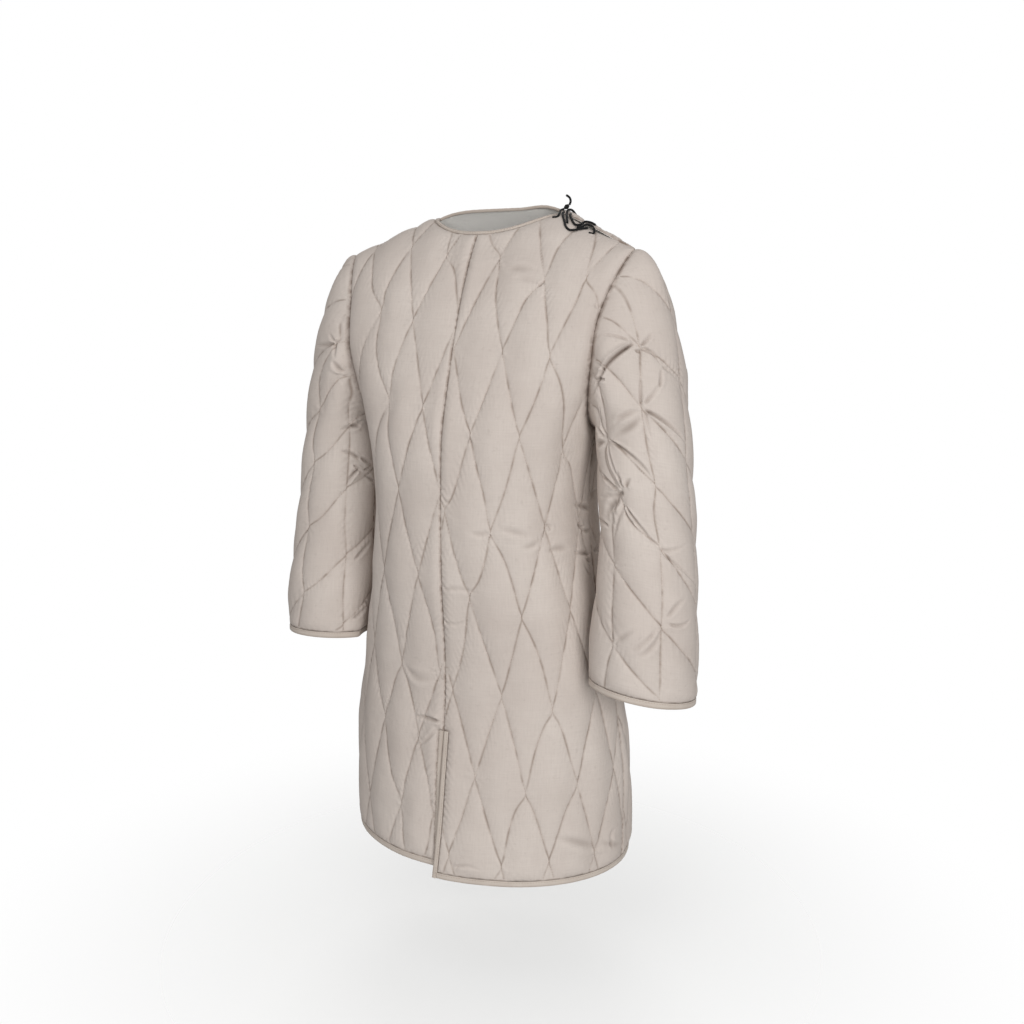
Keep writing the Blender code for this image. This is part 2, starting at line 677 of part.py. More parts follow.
@lru_cache(None)
def sleeve_grid(side):
    """Points of a sleeve's outside, from the cuff to the armhole, and each column's length."""
    turn = np.linspace(-pi, pi, SLEEVE_COLUMNS)
    cuff = CUFFS[side]

    def ring(height):
        out, forward, half_width, half_depth = eased(SLEEVE, height).T
        angle = turn + cuff.elbow_turn * smooth((height - ELBOW) / (SLEEVE[0].height - ELBOW))
        return out + half_width * np.cos(angle), -forward - half_depth * np.sin(angle)

    x, y = ring(np.full(turn.shape, SLEEVE[-1].height))
    low = cuff.height - cuff.side_fall * (x - SLEEVE[-1].out) - cuff.front_rise * (y + SLEEVE[-1].forward)
    rows = []
    for share in np.linspace(0, 1, 80):
        height = low + (SLEEVE[0].height - low) * share
        x, y = ring(height)
        pressed = body_side(y, height) + SLEEVE_CLEAR
        x = np.where(x < 0.26, 0.5 * (x + pressed + np.sqrt((x - pressed) ** 2 + 0.006**2)), x)
        rows.append(np.stack([x, y, height], -1))
    start, before = rows[-1], rows[-2]
    down = before - start
    down /= np.linalg.norm(down, axis=-1, keepdims=True)
    end = armhole_ring(turn)
    top = (1 + np.cos(turn)) / 2
    reach = HEAD_DOWN * top**0.7 + UNDERARM_DOWN * (1 - top**0.7)
    bow = np.array(HEAD_OUT) * top[:, None] + np.array([UNDERARM_OUT, 0, 0]) * (1 - top)[:, None]
    bow[:, 1] -= 0.020 * np.sin(turn)
    bow[:, 2] -= 0.035 * np.sin(turn) ** 2
    for t in np.linspace(0, 1, 80)[1:]:
        rows.append(bezier(start, start - down * reach[:, None], end + bow, end, t))
    grid, length = evened(np.stack(rows), SLEEVE_ROWS)
    grid[..., 0] *= side
    return grid, length


def sleeve_length(side, u):
    length = sleeve_grid(side)[1]
    return np.interp(u / SLEEVE_ROUND, np.linspace(-pi, pi, SLEEVE_COLUMNS), length)


def sleeve_point(side, u, v):
    grid, length = sleeve_grid(side)
    column = (u / SLEEVE_ROUND + pi) / (2 * pi) * (SLEEVE_COLUMNS - 1)
    wrapped = column % (SLEEVE_COLUMNS - 1)
    row = v / np.interp(wrapped, np.arange(SLEEVE_COLUMNS), length) * (SLEEVE_ROWS - 1)
    return on_grid(grid, row, wrapped)


def sleeve_out(side, u, v):
    step = 0.0015
    inward = np.clip(v, 2 * step, sleeve_length(side, u) - 2 * step)
    across = sleeve_point(side, u + step, inward) - sleeve_point(side, u - step, inward)
    along = sleeve_point(side, u, inward + step) - sleeve_point(side, u, inward - step)
    return outward(along, across) * side


def on_sleeve(side, u, v, lift):
    u, v = np.asarray(u, float), np.asarray(v, float)
    return sleeve_point(side, u, v) + sleeve_out(side, u, v) * (np.asarray(lift) - WALL)[..., None]


def on_armhole(side, turn, lift, into):
    """A point where body and sleeve meet, on the plane between their walls.

    Turn goes round from the shoulder point towards the front. Into is 1 for the body's edge and -1 for the sleeve's.
    """
    face = "front" if turn > 0 else "back"
    u, v = armhole(face, (abs(turn) / pi) ** CAP_FLAT)
    mirror = np.array([side, 1, 1])
    seam = body_point(face, u, v) * mirror
    turns = np.clip([turn - 0.02, turn + 0.02], -pi, pi)
    before, after = armhole_ring(turns) * mirror
    body = body_out(face, side * u, v)
    around = (turn + SEAM_SOFT * np.array([-1, -0.5, 0, 0.5, 1])) * SLEEVE_ROUND
    sleeve = sleeve_out(side, around, sleeve_length(side, around)).mean(axis=0)
    sleeve /= np.linalg.norm(sleeve)
    between = (body + sleeve) / max(1 + body @ sleeve, 0.6)
    inward = outward(after - before, between) * side
    return seam + between * (lift - WALL) + inward * into * WIDE_SEAM / 2


def body_rim(face, side, outline):
    """The rim of a body piece: its corners on the armhole meet the sleeve's."""
    corners = {}
    for share in arm_shares():
        u, v = armhole(face, share)
        corners[round(float(u), 6), round(float(v), 6)] = pi * share ** (1 / CAP_FLAT)
    turns = [corners.get((round(abs(u), 6), round(v, 6))) for u, v in outline]

    def rim(corner, lift):
        turn = turns[corner]
        if turn is None:
            return None
        which = side or (1 if outline[corner][0] > 0 else -1)
        return on_armhole(which, turn if face == "front" else -turn, lift, 1)

    return rim


def sleeve_quilting(side):
    cuff = CUFFS[side]
    gap = 2 * pi / SLEEVE_LINES * SLEEVE_ROUND
    return Quilting((cuff.first_line * SLEEVE_ROUND, cuff.lowest_cross), (0, SLEEVE_PITCH), (gap, SLEEVE_RISE))


def cap_turns():
    """Turns of the sleeve's head, at the same points as the armhole's."""
    shares = arm_shares()
    turns = pi * shares[1:] ** (1 / CAP_FLAT)
    turns[-1] = pi - SEAM_GAP / SLEEVE_ROUND
    return np.concatenate([turns[::-1], [0.0], -turns])


def sleeve_outline(side):
    half = pi * SLEEVE_ROUND - SEAM_GAP
    low = CUFF_BAND + SEAM_GAP
    top = float(sleeve_length(side, half)) - SEAM_GAP
    cuff = np.linspace(-pi, pi, CUFF_STEPS + 1) * SLEEVE_ROUND
    cuff[0], cuff[-1] = -half, half
    points = [(float(u), low) for u in cuff]
    points += spaced(points[-1], (half, top), 0.035)[1:]
    points += [(turn * SLEEVE_ROUND, float(sleeve_length(side, turn * SLEEVE_ROUND))) for turn in cap_turns()]
    points += spaced((-half, top), (-half, low), 0.035)[1:]
    return points


def sleeve_rim(side, outline):
    def rim(corner, lift):
        u, v = outline[corner]
        if v < float(sleeve_length(side, u)) - SEAM_GAP / 2:
            return None
        return on_armhole(side, u / SLEEVE_ROUND, lift, -1)

    return rim


# ---- Bands, laces and solids ----------------------------------------------------------------------------------


def solid(name, points, faces, color):
    mesh = bpy.data.meshes.new(name)
    mesh.from_pydata([tuple(p) for p in points], [], [tuple(int(k) for k in f) for f in faces])
    shape = bmesh.new()
    shape.from_mesh(mesh)
    bmesh.ops.recalc_face_normals(shape, faces=shape.faces)
    shape.to_mesh(mesh)
    shape.free()
    mesh.shade_smooth()
    mesh.set_sharp_from_angle(angle=radians(50))
    return placed(name, mesh, color)


def placed(name, data, color):
    item = bpy.data.objects.new(name, data)
    item.data.materials.append(finish(color))
    bpy.data.collections["gambeson"].objects.link(item)
    return item


@lru_cache(None)
def finish(color):
    kind = {CLOTH: "quilted cotton", TAPE: "cotton binding", CORD: "black lace"}[color]
    material = bpy.data.materials.new(kind)
    material.use_nodes = True
    shader = material.node_tree.nodes["Principled BSDF"]
    shader.inputs["Base Color"].default_value = (*color, 1)
    shader.inputs["Roughness"].default_value = 0.6 if color is CORD else 0.9
    return material


def lofted(name, rings, color, closed=False):
    """A bar through rings of as many points each, with flat ends or joined up."""
    count, size = len(rings), len(rings[0])
    faces = []
    for k in range(count if closed else count - 1):
        after = (k + 1) % count
        for j in range(size):
            beside = (j + 1) % size
            faces.append((k * size + j, k * size + beside, after * size + beside, after * size + j))
    if not closed:
        faces += [tuple(range(size))[::-1], tuple((count - 1) * size + j for j in range(size))]
    return solid(name, np.concatenate(rings), faces, color)


def band_section(width):
    """Across the band from its free edge, and over the wall's inside: a folded tape with soft edges."""
    low, high = (STITCHED - BAND_WALL) / 2, (STITCHED + BAND_WALL) / 2
    soft = 0.22 * width
    return (
        (0.0, 0.35 * STITCHED),
        (0.0, 0.65 * STITCHED),
        (soft, high),
        (width, high - 0.0004),
        (width, low + 0.0004),
        (soft, low),
    )


def band_ring(place, start, into, width):
    across, lift = np.array(band_section(width)).T
    return place(start[0] + into[0] * across, start[1] + into[1] * across, lift)


def hem_band():
    """From the slit's left corner round the back to its right corner."""
    rings = []
    ends = {side: float(half_girth("front", hem_v(side))) for side in (1, -1)}
    back = float(half_girth("back", 0.0))
    starts = {}
    for side in (1, -1):
        low = hem_v(side)
        starts[side] = max(slit_edge(side, low), slit_edge(side, low + HEM_BAND)) + SLIT_BAND + SEAM_GAP
    left, right = partial(on_a_front, 1), partial(on_a_front, -1)
    for u in np.linspace(starts[1], ends[1], 16)[:-1]:
        rings.append(band_ring(left, (u, hem_v(1)), (0, 1), HEM_BAND))
    for u in np.linspace(back, -back, 30):
        level = RIGHT_HEM_RISE * (1 - (u + back) / (2 * back))
        rings.append(band_ring(on_back, (u, level), (0, 1), HEM_BAND))
    for u in np.linspace(ends[-1], starts[-1], 16)[1:]:
        rings.append(band_ring(right, (u, hem_v(-1)), (0, 1), HEM_BAND))
    lofted("hem_binding", rings, TAPE)


def slit_bands():
    """The two turned edges of the front slit, which stands a little open half way down."""
    for side, name in ((1, "left"), (-1, "right")):
        rings = []
        place = partial(on_a_front, side)
        for v in np.linspace(hem_v(side), SLIT - SEAM_GAP, 9):
            rings.append(band_ring(place, (slit_edge(side, v), v), (1, 0), SLIT_BAND))
        lofted(f"slit_binding_{name}", rings, TAPE)


def neck_band():
    """From the open left shoulder's front edge, round by the right shoulder, to its back edge."""
    rings = []
    for face, side, way in (("front", 1, -1), ("front", -1, 1), ("back", -1, -1), ("back", 1, 1)):
        place = on_front if face == "front" else on_back
        rows = neck_rows(face, side)[::way]
        if way > 0:
            rows = rows[1:]
        for edge, into in rows:
            rings.append(band_ring(place, (side * edge[0], edge[1]), (side * into[0], into[1]), NECK_BAND))
    lofted("neck_binding", rings, TAPE)


def cuff_band(side, name):
    rings = []
    place = partial(on_sleeve, side)
    for turn in np.linspace(-pi, pi, CUFF_STEPS + 1)[:-1]:
        rings.append(band_ring(place, (turn * SLEEVE_ROUND, 0.0), (0, 1), CUFF_BAND))
    lofted(f"cuff_binding_{name}", rings, TAPE, closed=True)


def cloth_lift(u, below):
    """How high the left front's outside stands here. By the opening, that is the back's edge."""
    if below < OPENING_REACH + LACE:
        return OPENING_LIFT + STITCHED
    v = float(top_v("front", u)) - below
    edge = float(edge_distance([(u, v)], front_outline(1))[0])
    soft = min(max(edge, 0) / EDGE_EASE, 1)
    return STITCHED + LOFT * float(body_quilting(LEFT_LATTICE).rise((u, v))) * soft * (2 - soft)


def over_cloth(turn):
    """The middle of a lace at this turn of its route."""
    around = [(0, 0), (LACE, 0), (-LACE, 0), (0, LACE), (0, -LACE)]
    rest = max(cloth_lift(turn.across + a, turn.below + b) for a, b in around) + LACE / 2 + LACE_CLEAR
    return on_front(turn.across, top_v("front", turn.across) - turn.below, rest + turn.over)


def lace(name, turns):
    points = np.array([over_cloth(turn) for turn in turns])
    run = np.concatenate([[0], np.cumsum(np.linalg.norm(np.diff(points, axis=0), axis=1))])
    route = eased(np.column_stack([run, points]), np.linspace(0, run[-1], 80))
    count = round(float(run[-1]) / LACE_STEP) + 1
    route = evened(route[:, None], count)[0][:, 0]
    curve = bpy.data.curves.new(name, "CURVE")
    curve.dimensions = "3D"
    curve.bevel_depth = LACE / 2
    curve.bevel_resolution = 2
    curve.use_fill_caps = True
    spline = curve.splines.new("POLY")
    spline.points.add(count - 1)
    for point, place in zip(spline.points, route):
        point.co = (*place, 1)
    placed(name, curve, CORD)
    return route


def knot(start, end):
    """A bead between the ends of two laces, a little clear of both."""
    run = Vector(end - start)
    mesh = bpy.data.meshes.new("lace_knot")
    shape = bmesh.new()
    bmesh.ops.create_uvsphere(shape, u_segments=12, v_segments=8, radius=1)
    sizes = (KNOT_WIDE / 2, KNOT_WIDE / 2, run.length / 2 - KNOT_CLEAR)
    bmesh.ops.scale(shape, vec=sizes, verts=shape.verts)
    bmesh.ops.rotate(shape, matrix=run.to_track_quat("Z", "Y").to_matrix(), verts=shape.verts)
    bmesh.ops.translate(shape, vec=Vector((start + end) / 2), verts=shape.verts)
    shape.to_mesh(mesh)
    shape.free()
    mesh.shade_smooth()
    placed("lace_knot", mesh, CORD)


# ---- Building -------------------------------------------------------------------------------------------------


def clear():
    for item in list(bpy.data.objects):
        bpy.data.objects.remove(item)
    group = bpy.data.collections.new("gambeson")
    bpy.context.scene.collection.children.link(group)


def fronts():
    for side, name, lattice in ((1, "left", LEFT_LATTICE), (-1, "right", RIGHT_LATTICE)):
        outline = front_outline(side)
        rim = body_rim("front", side, outline)
        wall(f"front_{name}", outline, body_quilting(lattice), partial(on_a_front, side), rim)


def back():
    outline = back_outline()
    wall("back", outline, body_quilting(BACK_LATTICE), on_back, body_rim("back", 0, outline))


def sleeves():
    for side, name in ((1, "left"), (-1, "right")):
        outline = sleeve_outline(side)
        rim = sleeve_rim(side, outline)
        wall(f"sleeve_{name}", outline, sleeve_quilting(side), partial(on_sleeve, side), rim)
        cuff_band(side, name)


def main():
    clear()
    fronts()
    back()
    sleeves()
    hem_band()
    slit_bands()
    neck_band()
    routes = {name: lace(name, turns) for name, turns in LACES.items()}
    knot(routes["lace_front"][-1], routes["lace_end"][0])


main()
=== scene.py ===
"""Gambeson: the looks of a long quilted cotton coat, in the hollow shape that it has when worn.

The cloth pieces, their bindings and the laces are made again on the solids' own form, with a finer mesh,
creases and stitches. All sizes are in metres. +X is the wearer's left, -Y the front and +Z up. On a body
piece, U runs round from the middle line and V up from the hem. On a sleeve, U runs round from its outer line
and V up from the cuff.
"""

from collections import namedtuple
from functools import lru_cache, partial
from math import cos, hypot, pi, radians, sin, tan

import bmesh
import bpy
import numpy as np
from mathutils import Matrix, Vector
from mathutils.geometry import delaunay_2d_cdt


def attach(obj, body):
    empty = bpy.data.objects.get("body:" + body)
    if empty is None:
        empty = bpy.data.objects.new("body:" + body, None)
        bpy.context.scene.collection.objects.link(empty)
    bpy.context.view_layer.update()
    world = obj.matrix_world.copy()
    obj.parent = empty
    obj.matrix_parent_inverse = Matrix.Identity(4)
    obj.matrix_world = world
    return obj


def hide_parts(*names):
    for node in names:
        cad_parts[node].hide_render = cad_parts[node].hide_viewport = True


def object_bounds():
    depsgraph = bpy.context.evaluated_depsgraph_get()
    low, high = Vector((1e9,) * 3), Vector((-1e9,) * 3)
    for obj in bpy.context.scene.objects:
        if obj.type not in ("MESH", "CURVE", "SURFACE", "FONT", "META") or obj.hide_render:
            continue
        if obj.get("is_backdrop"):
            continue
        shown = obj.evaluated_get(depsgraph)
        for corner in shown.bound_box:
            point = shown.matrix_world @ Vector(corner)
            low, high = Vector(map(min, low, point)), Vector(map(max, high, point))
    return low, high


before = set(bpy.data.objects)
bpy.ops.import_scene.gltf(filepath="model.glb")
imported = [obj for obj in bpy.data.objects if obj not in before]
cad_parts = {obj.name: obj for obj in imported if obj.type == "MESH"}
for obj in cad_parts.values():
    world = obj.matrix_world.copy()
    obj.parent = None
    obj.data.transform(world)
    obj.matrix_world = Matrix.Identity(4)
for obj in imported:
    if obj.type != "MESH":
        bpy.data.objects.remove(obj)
cad_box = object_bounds()

# ---- Sizes ----

SEAM_GAP = 0.0003  # between two pieces that are sewn together
WIDE_SEAM = 0.0004  # the same where the seam turns: at the armholes and the neck
STITCHED = 0.003  # wall on a quilting line
LOFT = 0.0055  # how far the middle of a quilted field stands over its lines
WALL = STITCHED + LOFT
RIM_HIGH, RIM_LOW = 0.0022, 0.0005  # a cloth piece's edge, over its inside
EDGE_EASE = 0.015  # a field flattens, and a crease fades, this near to a seam

# Body sections from the hem to the level where the shoulders begin: height, half width, how far the front and
# the back stand from the side seams' plane, and squareness
BODY = (
    (-1.000, 0.236, 0.184, 0.192, 2.00),
    (-0.860, 0.235, 0.171, 0.164, 2.10),
    (-0.680, 0.210, 0.155, 0.130, 2.35),
    (-0.530, 0.180, 0.164, 0.115, 2.60),
    (-0.420, 0.172, 0.164, 0.106, 2.70),
    (-0.330, 0.182, 0.159, 0.102, 2.85),
    (-0.200, 0.235, 0.125, 0.106, 3.20),
)
HEM, CHEST = BODY[0][0], BODY[-1][0]

NECK_HALF = 0.1055  # neck-shoulder point from the middle plane
SHOULDER_FALL = 0.41  # slope of the shoulder line at the neck
SHOULDER_BOW = 0.16  # how much steeper it gets, per metre
RIDGE_BACK = 0.029  # the shoulder line lies this far behind the side seams at the neck
RIDGE_SKEW = 0.28  # and comes forward by this much per metre outwards
NAPE_BACK, NAPE_RISE = 0.032, 0.012  # how far behind the seams and up the back's top edge is at the middle
CHEST_LEAN = 0.32  # the front leans back by this much per metre, at the middle, where the chest begins
LEAN_SHARE, BACK_LEAN = 0.8, 0.05  # how far round it does so, and how much of it the back does
CHEST_WIDEN = 1.04  # the upper body is this much wider at the shoulder line
CLIMB = 0.45  # how long the upper body keeps the chest's direction, as a share of its height
CURL, SINK = 0.44, 0.02  # how far it turns in towards the shoulder line, and how far that end sinks

# Cutting lines of the body pieces, in the flat
SHOULDER_CUT = 0.254  # U of the shoulder point
UNDERARM = -0.325 - HEM
NECK_CUT = 0.1015  # U of the neck-shoulder point
FRONT_NECK_DROP = 0.1268  # from the virtual top of the middle line down to the front neck, along the cloth
BACK_NECK_DROP = 0.002
SLIT = 0.229  # front slit, up from the hem
SLIT_OPEN = 0.002  # half way down, it stands open by this much
RIGHT_HEM_RISE = 0.0155  # the right front hangs this much shorter
OPENING_OVER = 0.006  # the open left shoulder: at the neck, the back comes this far over the shoulder line
OPENING_LAP = 0.0015  # and the front's edge goes this far under the back's
OPENING_END = 0.175  # U where they stop lapping
OPENING_LIFT = 0.0055  # the back's edge stands this much proud there
LIFT_FROM = 0.030  # U where that begins
LIFT_IN, LIFT_OUT, LIFT_DOWN = 0.05, 0.10, 0.07  # it eases in from there, out to the shoulder point and down
OPENING_REACH = 0.010  # a lace this near to the shoulder line lies on the back's edge
# How an armhole leaves the shoulder point, in and down, and how far it runs level at the underarm
ARMHOLES = {"front": (0.054, 0.104, 0.100), "back": (0.030, 0.110, 0.057)}
NECK_HANDLES = (0.056, 0.094)  # U of the two points that bend the front neckline
NECK_SHARES = {1: 0.905, -1: 0.965}  # how much of that curve each side has, up to the shoulder's binding
NECK_STEPS = 61  # points of half a neckline on one face
ARM_STEPS = 96  # stretches of an armhole on one face
ARM_ENDS = (0.0030, 0.9984)  # shares of it where the shoulder's and the side's seams begin
LAP = 0.009  # the left front comes this far over the middle line at the hem
LAP_CURVE = 2.2  # above 1, it does so more towards the hem
LAP_LIFT = 0.0034  # and stands this much forward there, as the right one stands back
LAP_FADE = 0.09  # down to nothing this far from the middle
HEM_BAND, SLIT_BAND, NECK_BAND, CUFF_BAND = 0.009, 0.008, 0.0055, 0.0095  # widths of the bindings
BAND_WALL = 0.0046

# Quilting: half a field's width and height, and for each piece a crossing's U and V and the lattice's lean
FIELD_HALF, FIELD_RISE = 0.0391, 0.1261
LATTICES = {
    "front_left": (0.0196, 0.0410, -0.0208),
    "front_right": (0.0070, 0.0875, -0.0152),
    "back": (0.0, 0.0410, 0.0),
}
FULLNESS = 0.55  # the lower, the flatter a field's top and the steeper its sides
FIELD_STEPS = 34  # triangles along a field's side
LINING_STEP = 0.010  # between the points of the plain inside
FOLD_STEP, LINING_FOLD_STEP = 0.002, 0.005  # between the points along a crease, outside and inside
RIM_CLEAR, LINING_RIM_CLEAR = 0.0016, 0.0025  # between an outline and the other points

# Sleeve rings, from the upper arm to the cuff: height, how far out and forward, half the width and the depth
SLEEVE = (
    (-0.360, 0.2600, 0.015, 0.0715, 0.0740),
    (-0.480, 0.2715, 0.024, 0.0725, 0.0730),
    (-0.600, 0.2735, 0.036, 0.0800, 0.0830),
    (-0.700, 0.2720, 0.040, 0.0850, 0.0900),
)
Cuff = namedtuple("Cuff", "height side_fall front_rise first_line lowest_cross elbow_turn")
CUFFS = {
    1: Cuff(-0.704, tan(radians(7.0)), tan(radians(8.0)), radians(51), 0.014, 0.26),
    -1: Cuff(-0.677, tan(radians(0.5)), tan(radians(5.0)), radians(73), 0.058, -0.08),
}
ELBOW = -0.560  # above it, the sleeve's lines turn towards the front
SLEEVE_LINES = 6  # quilting lines that run down a sleeve
SLEEVE_PITCH = 0.104  # between two slanting lines, along a lengthwise one
SLEEVE_RISE = 0.070  # how far a slanting line climbs from one lengthwise line to the next
SLEEVE_ROUND = 0.075  # radius that turns an angle about the sleeve into U
CUFF_STEPS = 144
SLEEVE_CLEAR = 0.005  # between the sleeve and the body's side
PRESS_WITHIN, PRESS_SOFT = 0.26, 0.006  # this near to the middle plane it rests there, and how softly
HEAD_OUT, HEAD_DOWN = 0.056, 0.145  # how far the sleeve goes out from the shoulder point, and down to turn
UNDERARM_OUT, UNDERARM_DOWN = 0.022, 0.014
HEAD_EASE = 0.7  # below 1, more of the head goes down like its top
HEAD_AHEAD, HEAD_LOW = 0.020, 0.035  # how far its sides bow forward and back, and down
CAP_FLAT = 1.35  # above 1, the sleeve's head is flatter near the shoulder point
SEAM_SOFT = 0.25  # half the angle over which the armhole's rim evens out its lean

# Laces that close the left shoulder, in millimetres. Each row is a point of a route on the left front: U, how
# far below the shoulder line it lies, and its height over where it would rest on the cloth.
LACES = {
    "lace_front": [
        (103.5, 37, -1.8), (108, 33, -1.8), (108.5, 23, -0.5), (105, 12, 0), (105, 3, 1),
    ],
    "lace_end": [
        (108.5, -2, 10), (108.5, -1, 15), (106, 0, 18.5), (101, 2, 20.5),
    ],
    "lace_loop": [
        (110, 11, -0.6), (111.5, 17, -0.6), (116.5, 26, -0.6), (123.5, 35.5, -0.6), (130, 43.5, -0.6),
        (137, 44.5, -0.6), (142.5, 39.5, -0.6), (149.5, 31, -0.6), (157, 19.5, -0.6),
    ],
    "lace_arc": [
        (128.5, 35, 0), (123, 25, 0), (116.5, 13, 0), (113, 3, 3), (114.5, -5, 4.5), (120, -8, 2),
        (124.5, -14, 0),
    ],
    "lace_long": [
        (120.5, 7, 0), (124, 15, 0), (132, 24, 0), (139.5, 28, 0), (144.5, 21, 0), (148.5, 9, 0),
        (154.5, 2, 0), (162, 3, 0),
    ],
    "lace_back": [
        (163.5, 26, -2.7), (169, 22, -2.7), (165.5, 14, -1.6), (159, 12.5, -0.6), (153.5, 16, -0.6),
        (149, 22.5, -0.6), (144, 29.5, -0.6),
    ],
}
LACE = 0.0034  # diameter
LACE_STEP = 0.007
LACE_CLEAR = 0.0005
KNOT_WIDE = 0.0068  # the bead that ties lace_front to lace_end
KNOT_CLEAR = 0.0012  # from the middles of their ends

